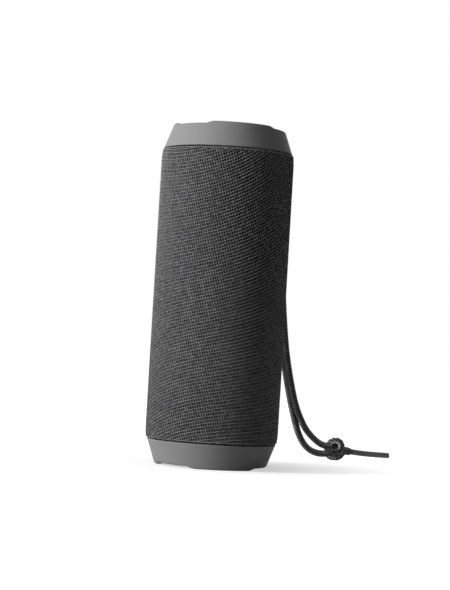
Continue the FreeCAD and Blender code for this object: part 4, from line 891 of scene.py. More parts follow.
def line_mesh(name: str, line: Sequence[Vector]) -> bpy.types.Mesh:
    """A mesh of edges along a line, for a geometry tree to start from.

    Args:
        name: The mesh's name.
        line: Points along the line, in metres.

    Returns:
        The mesh.
    """
    mesh = bpy.data.meshes.new(name)
    mesh.from_pydata(list(line), [(step, step + 1) for step in range(len(line) - 1)], [])
    return mesh


def braided_cord_tree() -> bpy.types.NodeTree:
    """A round two-over, two-under braid of flat strands along a line, over a dark core.

    Returns:
        The tree.
    """
    wiring, given = new_tree(
        "braided_cord",
        "GeometryNodeTree",
        {
            "Line": GEOMETRY, "Strand Radius": 0.00172, "Strand Rise": 0.0002, "Strand Width": 0.0013,
            "Strand Thickness": 0.0005, "Lay Length": 0.0125, "Strands Each Way": 6, "Step": 0.00045,
            "Core Radius": 0.00155, "Tip Length": 0.001, "Tip Narrowing": 0.0, "Seed": 1, "Finish": MATERIAL,
        },
        {"Cord": GEOMETRY},
    )
    each_way = given["Strands Each Way"]
    line = wiring.take("GeometryNodeMeshToCurve", {0: given["Line"]})
    travel = wiring.take("GeometryNodeSplineParameter", output="Length")
    held = wiring.captured(
        wiring.take("GeometryNodeResampleCurve", {0: line, "Length": given["Step"]}, mode="LENGTH"),
        {
            "tangent": wiring.take("GeometryNodeInputTangent"),
            "normal": wiring.take("GeometryNodeInputNormal", output="Normal"),
            "travel": travel,
            "left": wiring.take("GeometryNodeSplineLength", output="Length") - travel,
        },
    )
    near_tip = held["left"] / given["Tip Length"]
    tip = wiring.ranged(near_tip, 0.0, 1.0, 1.0, 0.0, interpolation_type="SMOOTHSTEP")
    girth = 1.0 - tip * given["Tip Narrowing"]
    amount = {"Geometry": held["Geometry"], "Amount": each_way * 2.0}
    copies = wiring.node("GeometryNodeDuplicateElements", amount, domain="SPLINE")
    number = Wire(wiring, copies.outputs["Duplicate Index"])
    back = wiring.math("FLOOR", number / each_way)
    way = back * -2.0 + 1.0
    strand = wiring.math("MODULO", number, each_way)
    wound = held["travel"] / given["Lay Length"]
    cosine, sine = ((wound * way + strand / each_way) * math.tau).cos_sin()
    phase = strand * math.pi + wound * each_way * math.pi * way
    wave = wiring.math("COSINE", phase - math.pi / 4.0) * way
    radius = (wave * given["Strand Rise"] + given["Strand Radius"]) * girth
    outward = held["normal"] * cosine + wiring.math("CROSS_PRODUCT", held["tangent"], held["normal"]) * sine
    moved = wiring.take("GeometryNodeSetPosition", {"Geometry": copies, "Offset": outward * radius})
    turned_out = wiring.take("GeometryNodeSetCurveNormal", {"Curve": moved, "Normal": outward}, mode="FREE")
    # Strands of one way get a light tone: a real two-tone braid, partly lightened as painted highlight for
    # glints.
    least_pale, paler, darkest, fullest = 0.65, 0.35, 0.04, 0.95
    pale_and_glint_tone = wiring.chance(0.0, 1.0, given["Seed"], ID=number) * paler + least_pale
    ring = wiring.take("GeometryNodeCurvePrimitiveCircle", {"Resolution": 6, "Radius": 0.5})
    size = wiring.joined(given["Strand Thickness"], given["Strand Width"], 1.0)
    flat_ring = wiring.take("GeometryNodeTransform", {"Geometry": ring, "Scale": size})
    core_sizes = {"Resolution": 12, "Radius": given["Core Radius"]}
    core_ring = wiring.take("GeometryNodeCurvePrimitiveCircle", core_sizes)
    strands, core = (
        wiring.take(
            "GeometryNodeCurveToMesh",
            {"Curve": path, "Profile Curve": profile, "Scale": girth, "Fill Caps": True},
        )
        for path, profile in (
            (wiring.toned(turned_out, (back * pale_and_glint_tone + darkest) * fullest), flat_ring),
            (held["Geometry"], core_ring),
        )
    )
    return wiring.done({"Cord": wiring.clad((strands, wiring.toned(core, 0.0)), given["Finish"])})


@dataclass
class WristStrap:
    """A braided cord looped round the bar in the spine, knotted, with a bare core at its end."""

    cord_diameter: float = 0.004
    tail_diameter: float = 0.00344
    left_length: float = 0.2013
    right_length: float = 0.1973
    tail_length: float = 0.046
    bight_radius: float = 0.0037
    stub_start: float = 0.003
    stub_end: float = 0.0164
    tail_lobes: int = 2
    tail_lobe: float = 0.0004
    tail_inset: float = 0.00028
    tail_buried: float = 0.0016
    tail_twist: float = 0.6
    tail_narrowing: float = 0.97
    tail_steps: int = 60
    cut_reach: float = 0.9
    filling_reach: tuple[float, float, float] = (4.2, 2.4, 5.0)
    filling_shift: tuple[float, float] = (1.4, 0.2)
    filling_ripple: tuple[float, float, float, float] = (0.06, 5.0, 4.0, 7.0)
    right: Vector = field(default_factory=lambda: Vector((0.6947, 0.7193, 0.0)))
    up: Vector = field(default_factory=lambda: Vector((0.0, 0.0, 1.0)))
    toward: Vector = field(default_factory=lambda: Vector((0.7193, -0.6947, 0.0)))
    knot_route: tuple[tuple[float, float, float], ...] = (
        (-4.8, -1.0, -0.8), (-4.3, 1.6, -0.3), (-3.0, 4.3, 0.0), (0.3, 5.7, 0.2), (3.5, 4.5, 0.4),
        (4.5, 1.5, 0.8), (3.1, -1.3, 1.5), (0.2, -2.2, 2.1), (-2.9, -1.8, 1.6), (-4.3, -3.4, 0.5),
        (-2.6, -5.1, 0.0), (0.5, -5.5, 0.2), (3.4, -4.5, 0.9), (4.6, -2.6, 0.8), (5.6, -1.7, 0.0),
    )

    def build(self) -> None:
        """Makes the cord's pieces and puts them in place of the strap's CAD nodes."""
        tree = braided_cord_tree()
        left_line, right_line = nurbs_line("left", LEFT_LEG), nurbs_line("right", RIGHT_LEG)
        tail_line = nurbs_line("tail", TAIL)
        left = self.braid(tree, "left_leg", left_line, 3)
        right = self.braid(tree, "right_leg", right_line, 8)
        bight = self.braid(tree, "bight", nurbs_line("bight", self.bight_route()), 5)
        knot = self.braid(
            tree, "knot", nurbs_line("knot", self.knot_points()), 11,
            {"Strand Radius": 0.00182, "Core Radius": 0.00165},
        )
        ball = self.knot_filling()
        stub = self.braid(
            tree, "stub", self.stub_line(), 14,
            {"Strand Radius": 0.0022, "Core Radius": 0.002, "Tip Length": 0.0035, "Tip Narrowing": 0.32},
        )
        tail = self.tail(tail_line)
        for piece, node in (
            (left, "left_leg"), (right, "right_leg"), (bight, "bight"),
            (knot, "knot"), (ball, "knot"), (stub, "knot"),
        ):
            stand_in(piece, "housing", f"strap_{node}")
        stand_in(tail, "housing", "strap_tail")
        for leg, exit_point, length, line, others in (
            (left, LEFT_LEG[0], self.left_length, left_line, [knot, ball, stub, bight]),
            (right, RIGHT_LEG[0], self.right_length, right_line, [knot]),
        ):
            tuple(exit_point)
            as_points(line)
            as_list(others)
        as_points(tail_line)

    def braid(
        self, tree: bpy.types.NodeTree, part: str, line: Sequence[Vector], seed: int,
        sizes: dict[str, object] | None = None,
    ) -> bpy.types.Object:
        """Braids cord along a line.

        Args:
            tree: The braid's geometry tree.
            part: Which part of the strap it is.
            line: Points along it, in metres.
            seed: Chooses which strands are grey.
            sizes: Inputs that differ from the tree's own.

        Returns:
            The piece.
        """
        name = f"strap_{part}_braid"
        values = {"Seed": seed, "Finish": BRAID.material(), **(sizes or {})}
        return grown(name, tree, values, line_mesh(name, line))

    def bight_route(self) -> list[Vector]:
        """Control points of the half turn behind the bar.

        Returns:
            The points, in metres.
        """
        out = (Vector(LEFT_LEG[1]) - Vector(LEFT_LEG[0])).normalized()
        across = Vector((1.0, 0.0, 0.0))
        reach = self.bight_radius
        turns = (-1.0, -1.0, -0.72, 0.0, 0.72, 1.0, 1.0)
        depths = (0.25, -0.3, -1.0, -1.28, -1.0, -0.3, 0.25)
        return [
            BIGHT_CENTRE + across * (reach * turn) + out * (reach * depth)
            for turn, depth in zip(turns, depths)
        ]

    def knot_points(self) -> list[Vector]:
        """Control points of the cord as it turns through the knot."""
        return [
            KNOT + (self.right * across + self.up * high + self.toward * near) * MM
            for across, high, near in self.knot_route
        ]

    def knot_filling(self) -> bpy.types.Object:
        """The turns buried inside the knot, as one dark lump.

        Returns:
            The piece.
        """
        work = bmesh.new()
        bmesh.ops.create_icosphere(work, subdivisions=3, radius=1.0)
        wide, deep, tall = self.filling_reach
        back, down = self.filling_shift
        swell, across, inward, upward = self.filling_ripple
        for vertex in work.verts:
            x, y, z = vertex.co
            ripple = 1.0 + swell * math.sin(upward * z + across * x) * math.cos(inward * y)
            spread = self.right * (x * wide) + self.toward * (y * deep) + self.up * (z * tall)
            vertex.co = KNOT + (spread * ripple - self.toward * back - self.up * down) * MM
        return finished("strap_knot_filling", work, BRAID, 60.0)

    def stub_line(self) -> list[Vector]:
        """Points along the braid's end between the knot and the bare core.

        Returns:
            The points, in metres.
        """
        out = (Vector(TAIL[0]) - KNOT).normalized()
        steps = 12
        reach = self.stub_end - self.stub_start
        return [KNOT + out * (self.stub_start + reach * step / steps) for step in range(steps + 1)]

    def tail(self, line: Sequence[Vector]) -> bpy.types.Object:
        """Sweeps the lobed, twisted bundle of core threads along its line.

        Args:
            line: Points along it, in metres.

        Returns:
            The piece.
        """
        around = self.tail_steps
        base = self.tail_diameter / 2.0 - self.tail_inset
        points = [line[0] - (line[1] - line[0]).normalized() * self.tail_buried, *line]
        across = Vector((1.0, 0.0, 0.0))
        corners, faces, travel = [], [], 0.0
        last = len(points) - 1
        for number, point in enumerate(points):
            before = points[max(number - 1, 0)]
            along = (points[min(number + 1, last)] - before).normalized()
            across = (across - along * across.dot(along)).normalized()
            other = along.cross(across)
            travel += (point - before).length
            twist = math.pi * (0.5 + travel / self.tail_twist)
            for step in range(around):
                turn = math.tau * step / around
                crest = abs(math.cos(self.tail_lobes * 0.5 * turn + twist))
                radius = base + self.tail_lobe * (2.0 * crest - 1.0)
                radius *= self.tail_narrowing if number == last else 1.0
                corners.append((point + (across * math.cos(turn) + other * math.sin(turn)) * radius) / MM)
        for ring in range(0, last * around, around):
            for step in range(around):
                after = (step + 1) % around
                faces.append((ring + step, ring + after, ring + around + after, ring + around + step))
        faces.append(tuple(reversed(range(around))))
        faces.append(tuple(last * around + step for step in range(around)))
        end = line[-1] / MM
        return build_mesh(
            "strap_tail_core", corners, faces, [CORE, CORE_END],
            lambda middle: 1 if (middle - end).length < self.cut_reach else 0, angle=50.0,
        )


def bowed_row(wiring: Wiring, given: dict[str, Wire], arc: Wire, height: Wire) -> tuple[Wire, Wire]:
    """Where a row comes to lie once the cloth has been pulled out of true.

    Args:
        wiring: The tree the nodes go into.
        given: The tree's own inputs.
        arc: How far round the wall the stitch is.
        height: How high it would be in an even cloth.

    Returns:
        Its height in the bowed cloth, and how steeply its row runs there.
    """
    middle = (given["Low"] + given["High"]) * 0.5
    half = (given["High"] - given["Low"]) * 0.5
    share = wiring.within((height - middle) / half, -1.0, 1.0)
    cosine, sine = (arc / given["Radius"] + given["First Angle"] - given["Bow Middle"]).cos_sin()
    blunt = wiring.math("SQRT", cosine * cosine + given["Bow Softness"])
    bow = share * given["Bow Growth"] + given["Bow"]
    skew = share * given["Skew Growth"]
    sagitta = 1.0 - (cosine + blunt) * 0.5
    shift = skew * sine + bow * sagitta
    turning = cosine / blunt * 0.5 + 0.5
    slope = wiring.math("TANGENT", given["Row Slant"]) + skew * cosine + bow * (sine * turning)
    return shift * given["Radius"] + height, slope


def stitch_rows_tree() -> bpy.types.NodeTree:
    """Slanted rows of leaning stitches with a thread between the rows, on a round wall.

    Returns:
        The tree.
    """
    wiring, given = new_tree(
        "stitch_rows",
        "GeometryNodeTree",
        {
            "Ground": GEOMETRY, "Columns": 10, "Rows": 10, "First Column": 0, "First Row": 0,
            "Stitch Pitch": 0.00146, "Row Pitch": 0.00186, "Row Slant": 0.349, "Column Slant": 0.253,
            "Radius": 0.0381, "First Angle": 0.0, "Arc From": 0.0, "Arc To": 0.05, "Spare From": 0.0,
            "Spare To": 0.0, "Low": 0.015, "High": 0.183, "Bow Middle": -0.768, "Bow": 0.13,
            "Bow Growth": 0.43, "Skew Growth": 0.14, "Bow Softness": 0.02, "Edge Drop": 0.0004,
            "Edge Width": 0.0060, "Grain Length": 0.0020, "Grain Width": 0.00064,
            "Grain Thickness": 0.00045, "Lean": 0.49, "Thread Thickness": 0.00047,
            "Thread Lift": 0.00042, "Seed": 1, "Finish": MATERIAL,
        },
        {"Weave": GEOMETRY},
    )
    index = wiring.take("GeometryNodeInputIndex")
    column = wiring.math("FLOOR", index / given["Rows"]) + given["First Column"]
    row = wiring.math("MODULO", index, given["Rows"]) + given["First Row"]
    rows = [stitches(wiring, given, column, row), stitches(wiring, given, column, row + 0.5, is_thread=True)]
    return wiring.done({"Weave": wiring.clad(rows, given["Finish"])})


def stitches(
    wiring: Wiring, given: dict[str, Wire], column: Wire, row: Wire, is_thread: bool = False
) -> Wire:
    """Stands stitches, or lengths of thread, where the rows and columns cross.

    Args:
        wiring: The tree the nodes go into.
        given: The tree's own inputs.
        column: Which column each one is in.
        row: Which row each one is in. The threads lie half a row up.
        is_thread: Says that they are lengths of thread.

    Returns:
        The instances.
    """

    def chance(name: str, middle: float = 0.0) -> Wire:
        """A number that differs from stitch to stitch, about a middle one."""
        seed = given["Seed"] + float(sum(map(ord, name)) % 97)
        return wiring.chance(middle - STITCH_SWING[name], middle + STITCH_SWING[name], seed)

    low, high = given["Low"], given["High"]
    arc_from, arc_to = given["Arc From"], given["Arc To"]
    points = wiring.take("GeometryNodePoints", {"Count": given["Columns"] * given["Rows"]})
    along, up = column * given["Stitch Pitch"], row * given["Row Pitch"]
    slant_cosine, slant_sine = given["Row Slant"].cos_sin()
    upright_cosine, upright_sine = given["Column Slant"].cos_sin()
    arc = along * slant_cosine - up * upright_sine
    height = along * slant_sine + up * upright_cosine + low
    bowed, slope = bowed_row(wiring, given, arc, height)
    flat = wiring.joined(arc, slope, bowed)
    laid = wiring.take("GeometryNodeSetPosition", {"Geometry": points, "Position": flat})
    place = wiring.take("GeometryNodeInputPosition")
    arc, slope, height = (
        Wire(wiring, part) for part in wiring.node("ShaderNodeSeparateXYZ", {0: place}).outputs
    )
    tucked = given["Row Pitch"] * TUCK
    outside = wiring.math("LESS_THAN", arc, arc_from - given["Spare From"])
    for other in (
        wiring.math("GREATER_THAN", arc, arc_to + given["Spare To"]),
        wiring.math("LESS_THAN", height, low - tucked),
        wiring.math("GREATER_THAN", height, high + tucked),
    ):
        outside = wiring.math("MAXIMUM", outside, other)
    kept = wiring.take(
        "GeometryNodeDeleteGeometry", {"Geometry": laid, "Selection": outside}, domain="POINT", mode="ALL"
    )
    height = wiring.within(height, low, high)
    cosine, sine = (wiring.within(arc, arc_from, arc_to) / given["Radius"] + given["First Angle"]).cos_sin()
    nearest = wiring.math("MINIMUM", height - low, high - height)
    fall = 1.0 - wiring.ranged(nearest, 0.0, given["Edge Width"])
    radius = given["Radius"] - wiring.math("POWER", fall, 2.0) * given["Edge Drop"]
    radius = radius + (given["Thread Lift"] if is_thread else chance("depth"))
    outward = wiring.joined(cosine, sine, 0.0)
    spot = outward * radius + wiring.joined(0.0, 0.0, height)
    level = wiring.math("ARCTANGENT", slope)
    lean = level if is_thread else given["Lean"] + chance("lean")
    lean_cosine, lean_sine = lean.cos_sin()
    first = wiring.joined(sine * -1.0, cosine, 0.0) * lean_cosine + wiring.joined(0.0, 0.0, lean_sine)
    turn = wiring.take(
        "FunctionNodeAxesToRotation", {"Primary Axis": outward, "Secondary Axis": first},
        primary_axis="Z", secondary_axis="X",
    )
    facing = wiring.captured(kept, {"turn": turn})
    slub_scale, slub_share, darkest, thread_tone = 260.0, 0.5, 0.2, 1.2
    tone = wiring.noise(place, slub_scale, 2.0) * slub_share + darkest + chance("tone")
    tone = wiring.within(tone * thread_tone if is_thread else tone, 0.0, 1.0)
    toned = wiring.toned(facing["Geometry"], tone)
    if is_thread:
        tube = wiring.take(
            "GeometryNodeMeshCylinder", {"Vertices": 5, "Radius": 0.5, "Depth": 1.0}, fill_type="NONE"
        )
        lain = (0.0, math.pi / 2.0, 0.0)
        shape = wiring.take("GeometryNodeTransform", {"Geometry": tube, "Rotation": lain})
        length = given["Stitch Pitch"] * slant_cosine * OVERLAP / wiring.math("COSINE", level)
        scale = wiring.joined(length, given["Thread Thickness"], given["Thread Thickness"])
    else:
        shape = wiring.take("GeometryNodeMeshUVSphere", {"Segments": 6, "Rings": 4, "Radius": 0.5})
        plump, long = chance("plump", 1.0), chance("long", 1.0)
        scale = wiring.joined(
            given["Grain Width"] * plump, given["Grain Length"] * long, given["Grain Thickness"] * plump
        )
    standing = wiring.take("GeometryNodeSetPosition", {"Geometry": toned, "Position": spot})
    return wiring.take(
        "GeometryNodeInstanceOnPoints",
        {"Points": standing, "Instance": shape, "Rotation": facing["turn"], "Scale": scale},
    )


@dataclass
class WovenSleeve:
    """The coarse charcoal cloth round the grille, with its edges turned in at both seams and cut square
    beside the spine.
    """

    radius: float = 38.12
    backing_radius: float = 37.95
    inner_radius: float = 37.5
    low: float = 15.0
    high: float = 183.0
    gap_half_width: float = 11.45
    stitch_pitch: float = 1.42
    row_pitch: float = 1.81
    slant: float = 17.2
    column_slant: float = 14.5
    lean: float = 38.0
    bow_angle: float = 316.0
    bow_room: float = 30.0
    edge_drop: float = 0.35
    edge_width: float = 6.0
    sectors: int = 4
    first_seed: int = 20
    margin: float = 0.75

    def build(self) -> None:
        backing, *weave = (
            stand_in(piece, "housing", "fabric_sleeve")
            for piece in (self.backing(), *self.weave())
        )
        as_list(weave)

    def first_angle(self, radius: float) -> float:
        """Angle in degrees where the cloth starts, beside the spine."""
        return 90.0 + math.degrees(math.asin(self.gap_half_width / radius))

    def backing(self) -> bpy.types.Object:
        """The sheet that carries the stitches, rounded over at the seams. Its near-black colour is painted
        shade in the gaps between the stitches.

        Returns:
            The piece.
        """
        start = self.first_angle(self.backing_radius)
        turn = 0.1
        rim = self.backing_radius - self.edge_drop - turn
        slopes = [
            (self.backing_radius - self.edge_drop * (1.0 - reach / self.edge_width) ** 2, reach)
            for reach in (1.0, 2.2, 3.8, self.edge_width)
        ]
        section = [(self.inner_radius - 0.02, self.low + 0.1), (self.inner_radius - 0.02, self.high - 0.1)]
        section += arc_points((rim, self.high - turn), turn, 80.0, 0.0, 4)
        section += [(radius, self.high - reach) for radius, reach in slopes]
        section += [(radius, self.low + reach) for radius, reach in reversed(slopes)]
        section += arc_points((rim, self.low + turn), turn, 0.0, -80.0, 4)
        return turned(
            "sleeve_backing_painted_shade", section, [GAP_SHADE_BACKING], Matrix.Identity(4),
            span=(start, 540.0 - start), steps=180, angle=50.0,
        )

    def weave(self) -> list[bpy.types.Object]:
        """The rows of stitches, in as many pieces as there are sectors.

        Returns:
            The pieces.
        """
        tree = stitch_rows_tree()
        start = math.radians(self.first_angle(self.radius))
        edge = self.margin / self.radius
        whole = 2.0 * (math.pi - math.asin(self.gap_half_width / self.radius)) * self.radius
        whole -= 2.0 * self.margin
        slant, upright = math.radians(self.slant), math.radians(self.column_slant)
        skew = math.cos(slant - upright)
        bottom, top = -self.bow_room, self.high - self.low + self.bow_room
        spare = self.stitch_pitch * TUCK * MM
        pieces = []
        for sector in range(self.sectors):
            arc_from = whole * sector / self.sectors
            arc_to = whole * (sector + 1) / self.sectors
            along = (
                arc_from * math.cos(upright) + bottom * math.sin(upright),
                arc_to * math.cos(upright) + top * math.sin(upright),
            )
            up = (
                bottom * math.cos(slant) - arc_to * math.sin(slant),
                top * math.cos(slant) - arc_from * math.sin(slant),
            )
            first_column = math.floor(along[0] / skew / self.stitch_pitch) - 1
            first_row = math.floor(up[0] / skew / self.row_pitch) - 1
            sizes = {
                "Columns": math.ceil(along[1] / skew / self.stitch_pitch) - first_column + 2,
                "Rows": math.ceil(up[1] / skew / self.row_pitch) - first_row + 2,
                "First Column": first_column, "First Row": first_row,
                "Stitch Pitch": self.stitch_pitch * MM, "Row Pitch": self.row_pitch * MM,
                "Row Slant": slant, "Column Slant": upright, "Lean": math.radians(self.lean),
                "Radius": self.radius * MM, "First Angle": start + edge,
                "Arc From": arc_from * MM, "Arc To": arc_to * MM,
                "Spare From": spare if sector == 0 else 0.0,
                "Spare To": spare if sector == self.sectors - 1 else 0.0,
                "Low": (self.low + self.margin) * MM, "High": (self.high - self.margin) * MM,
                "Bow Middle": math.radians(self.bow_angle),
                "Seed": self.first_seed + sector, "Finish": WEAVE.material(),
            }
            pieces.append(grown(f"sleeve_weave_{sector + 1}", tree, sizes))
        return pieces


class End(Enum):
    """The two ends of the speaker."""

    LOWER = "lower"
    UPPER = "upper"

    def placing(self) -> Matrix:
        """Puts a piece made upward from a seam at this end's seam, in millimetres."""
        if self is End.UPPER:
            return Matrix.Translation((0.0, 0.0, SEAM_HIGH))
        return Matrix.Translation((0.0, 0.0, SEAM_LOW)) @ Matrix.Rotation(math.pi, 4, "Y")


@dataclass
class EndCap:
    """A tapered cap with an open mouth and three soft drain dips across its rim."""

    end: End
    seam_radius: float = 37.6
    crown_radius: float = 32.4
    mouth_radius: float = 28.5
    height: float = 14.5
    crown_round: float = 1.5
    mouth_round: float = 0.6
    mouth_wall: float = 1.8
    frame_top: float = 2.9
    deck: float = 11.3
    side_wall: float = 2.5
    seam_round: float = 0.3
    levels: tuple[float, ...] = (2.0, 4.0, 6.0, 8.0, 10.0, 11.2, 12.2)
    mouth_middle: float = 8.0
    dip: float = 1.2
    dip_lead: float = 0.8
    dip_floor: float = 10.9
    dip_edge: float = 15.9
    arms: tuple[float, ...] = (-90.0, 30.0, 150.0)

    def build(self) -> None:
        """Makes the cap in place of the plain one."""
        node = f"{self.end.value}_end_cap"
        piece = turned(
            f"{node}_shell", self.section(), [CAP], self.end.placing(),
            steps=384, shape=self.dipped, angle=40.0,
        )
        stand_in(piece, "housing", node)

    def slope(self) -> float:
        """How far the outside narrows for each millimetre of height."""
        return (self.seam_radius - self.crown_radius) / self.height

    def section(self) -> list[tuple[float, float]]:
        """The cap's wall at a place with no dip.

        Returns:
            Radius and height of each corner.
        """
        lean = math.degrees(math.atan(self.slope()))
        turn = 90.0 - lean
        setback = self.crown_round * math.tan(math.radians(turn) / 2.0)
        centre = (self.crown_radius - setback, self.height - self.crown_round)
        crown = arc_points(centre, self.crown_round, lean, 90.0, 8)
        lip = (self.mouth_radius + self.mouth_round, self.height - self.mouth_round)
        mouth = arc_points(lip, self.mouth_round, 90.0, 180.0, 5)
        heel = (self.seam_radius - self.seam_round, self.seam_round)
        foot = arc_points(heel, self.seam_round, -90.0, lean, 4)
        rise = [(self.seam_radius - self.slope() * level, level) for level in self.levels]
        inner = self.seam_radius - self.slope() * self.deck - self.side_wall
        wall = self.mouth_radius + self.mouth_wall
        return [
            *foot, *rise, *crown, *mouth,
            (self.mouth_radius, self.mouth_middle), (self.mouth_radius, self.frame_top),
            (wall, self.frame_top), (wall, self.deck), (inner, self.deck),
            (self.seam_radius - self.side_wall, 0.0),
        ]

    def dipped(self, radius: float, turn: float, height: float) -> tuple[float, float]:
        """Lowers the rim where a drain dip crosses it.

        Args:
            radius: Radius of a corner of the section.
            turn: Its angle, in radians.
            height: Its height above the seam.

        Returns:
            The radius and height there.
        """
        start = self.height - self.crown_round - self.dip - self.dip_lead
        if height <= start or (radius < self.mouth_radius + 0.01 and height < self.height - 2.0):
            return radius, height
        share = min(1.0, (height - start) / (self.height - self.crown_round - start))
        down = 0.0
        for arm in self.arms:
            offset = turn - math.radians(arm)
            if math.cos(offset) > 0.0:
                across = abs(radius * math.sin(offset))
                part = min(1.0, max(0.0, (across - self.dip_floor) / (self.dip_edge - self.dip_floor)))
                down = max(down, self.dip * (1.0 - part * part * (3.0 - 2.0 * part)))
        down *= share
        inside = radius < self.mouth_radius + self.mouth_round + 0.01
        return radius + (0.0 if inside else down * self.slope()), height - down


@dataclass
class FlexRing:
    """A ring of rubber or cloth between a moving part and the fixed frame round it."""

    name: str
    node: str
    moving: str
    slot: str
    finish: Finish
    placing: Matrix
    section: Section
    start_radius: float
    end_radius: float
    sectors: int = 12
    steps: int = 8

    def build(self) -> None:
        """Makes the ring in equal sectors and hides its CAD node."""
        wide = 360.0 / self.sectors
        reach = self.end_radius * math.cos(math.radians(wide / 2.0))
        for sector in range(self.sectors):
            first = wide * sector
            piece = turned(
                f"{self.name}_{sector + 1:02d}", self.section, [self.finish], self.placing,
                span=(first, first + wide), steps=self.steps, angle=50.0,
            )
            middle = math.radians(first + wide / 2.0)
            out = Vector((math.cos(middle), math.sin(middle), 0.0))
            start, end = (self.placing @ (out * radius) * MM for radius in (self.start_radius, reach))
            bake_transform(piece)
            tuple(start)
            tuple(end)
            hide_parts(self.node)
        LOG.info("%s: %d sectors", self.name, self.sectors)


def roll_section(
    inner: float, outer: float, base: float, skin: float, bead_in: float, bead_out: float
) -> list[tuple[float, float]]:
    """Section of a half roll with a flat glue bead at each edge.

    Args:
        inner: Radius where the roll starts.
        outer: Radius where it ends.
        base: Level of the beads' underside.
        skin: Thickness of the rubber.
        bead_in: Inner radius of the inner bead.
        bead_out: Outer radius of the outer bead.

    Returns:
        Radius and height of each corner.
    """
    middle, reach = (inner + outer) / 2.0, (outer - inner) / 2.0
    edge = skin * 0.35
    lift = math.degrees(math.asin(min(1.0, skin / reach)))
    over = arc_points((middle, base), reach, 180.0 - lift, lift, 14)
    under = arc_points((middle, base), reach - skin, 0.0, 180.0, 12)
    return [
        (bead_in, base), (bead_in, base + skin - edge), (bead_in + edge, base + skin), *over,
        (bead_out - edge, base + skin), (bead_out, base + skin - edge), (bead_out, base), *under,
    ]


@dataclass
class PassiveRadiator:
    """The plate and rubber roll that close an end behind its mouth."""

    end: End
    base: float = 2.9
    opening: float = 26.0
    plate_radius: float = 21.8
    disc_radius: float = 17.0
    plate_thickness: float = 2.0
    disc_rise: float = 1.2
    skin: float = 0.8

    def build(self) -> None:
        """Makes the plate and its roll."""
        end = self.end.value
        plate = turned(
            f"{end}_radiator_disc", self.plate_section(), [PLATE], self.end.placing(), steps=128, angle=30.0
        )
        stand_in(plate, f"{end}_radiator", f"{end}_radiator_plate")
        FlexRing(
            f"{end}_radiator_roll", f"{end}_radiator_surround", f"{end}_radiator", "roll_rubber", ROLL,
            self.end.placing(),
            roll_section(
                self.plate_radius, self.opening, self.base, self.skin,
                self.disc_radius + self.disc_rise + 0.3, self.opening + 2.2,
            ),
            start_radius=self.plate_radius, end_radius=self.opening,
        ).build()

    def plate_section(self) -> list[tuple[float, float]]:
        """The stepped plate with a shallow dished middle and a turned ring.

        Returns:
            Radius and height of each corner.
        """
        base, top = self.base, self.base + self.disc_rise
        under = base - self.plate_thickness
        edge, disc = self.plate_radius, self.disc_radius
        step = disc + self.disc_rise
        return [
            (0.0, under), (edge - 0.3, under), (edge, under + 0.3), (edge, base - 0.01),
            (step + 0.15, base - 0.01), (step - 0.1, base + 0.12), (disc + 0.35, top - 0.18),
            (disc + 0.1, top - 0.04), (disc - 0.2, top), (disc - 2.0, top), (disc - 2.2, top - 0.12),
            (disc - 2.6, top - 0.25), (disc - 3.2, top - 0.25), (8.0, top - 0.42), (0.0, top - 0.5),
        ]


@dataclass
class Driver:
    """The soft rings of one driver: the roll round its cone and the centring ring."""

    name: str
    height: float
    seat: float = -27.5
    flange: float = 1.5
    cone_radius: float = 13.2
    basket_body: float = 15.8
    skin: float = 0.5
    coil_radius: float = 5.3
    ledge: float = 6.6
    spider_rim: float = 11.9
    spider_edge: float = 1.2
    waves: int = 6

    def build(self) -> None:
        """Makes the surround and the centring ring."""
        placing = lying(self.height, 1.0, self.seat)
        driver, cone = f"{self.name}_driver", f"{self.name}_cone"
        cone_edge, body = self.cone_radius, self.basket_body
        roll = roll_section(cone_edge, body, self.flange, self.skin, cone_edge - 0.8, body + 1.0)
        FlexRing(
            f"{driver}_roll", f"{driver}_surround", cone, "roll_rubber", ROLL, placing, roll,
            start_radius=cone_edge, end_radius=body, steps=5,
        ).build()
        FlexRing(
            f"{driver}_centring", f"{driver}_spider", cone, "spider_cloth", SPIDER_CLOTH, placing,
            self.spider_section(), start_radius=self.coil_radius + 0.3,
            end_radius=self.spider_rim - self.spider_edge, steps=4,
        ).build()

    def spider_section(self) -> list[tuple[float, float]]:
        """Section of the corrugated ring.

        Returns:
            Radius and height of each corner.
        """
        start, end = self.coil_radius + 0.1, self.spider_rim - self.spider_edge
        lower = [
            (start + (end - start) * step / self.waves, -self.ledge + 0.6 * (step % 2))
            for step in range(self.waves + 1)
        ]
        lower.append((self.spider_rim, -self.ledge))
        return lower + [(radius, height + 0.4) for radius, height in reversed(lower)]


def softened(
    node: str, name: str, finish: Finish, bevel: float = 0.22, angle: float = 35.0
) -> bpy.types.Object:
    """Copies a CAD node and rounds its edges.

    Args:
        node: The CAD node.
        name: The piece's name.
        finish: Its finish.
        bevel: Width of the rounding, in millimetres.
        angle: Edges sharper than this are rounded, in degrees.

    Returns:
        The piece.
    """
    work = bmesh.new()
    work.from_mesh(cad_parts[node].data)
    merge, flat = 0.002 * MM, math.radians(0.8)
    bmesh.ops.remove_doubles(work, verts=work.verts, dist=merge)
    bmesh.ops.dissolve_limit(work, angle_limit=flat, verts=work.verts, edges=work.edges)
    sharp = [
        edge for edge in work.edges
        if len(edge.link_faces) == 2 and edge.calc_face_angle(0.0) > math.radians(angle)
    ]
    bmesh.ops.bevel(
        work, geom=sharp, offset=bevel * MM, offset_type="OFFSET", segments=3, profile=0.5,
        affect="EDGES", clamp_overlap=True, miter_outer="SHARP",
    )
    bmesh.ops.triangulate(work, faces=[face for face in work.faces if len(face.verts) > 4])
    return finished(name, work, finish, 32.0)


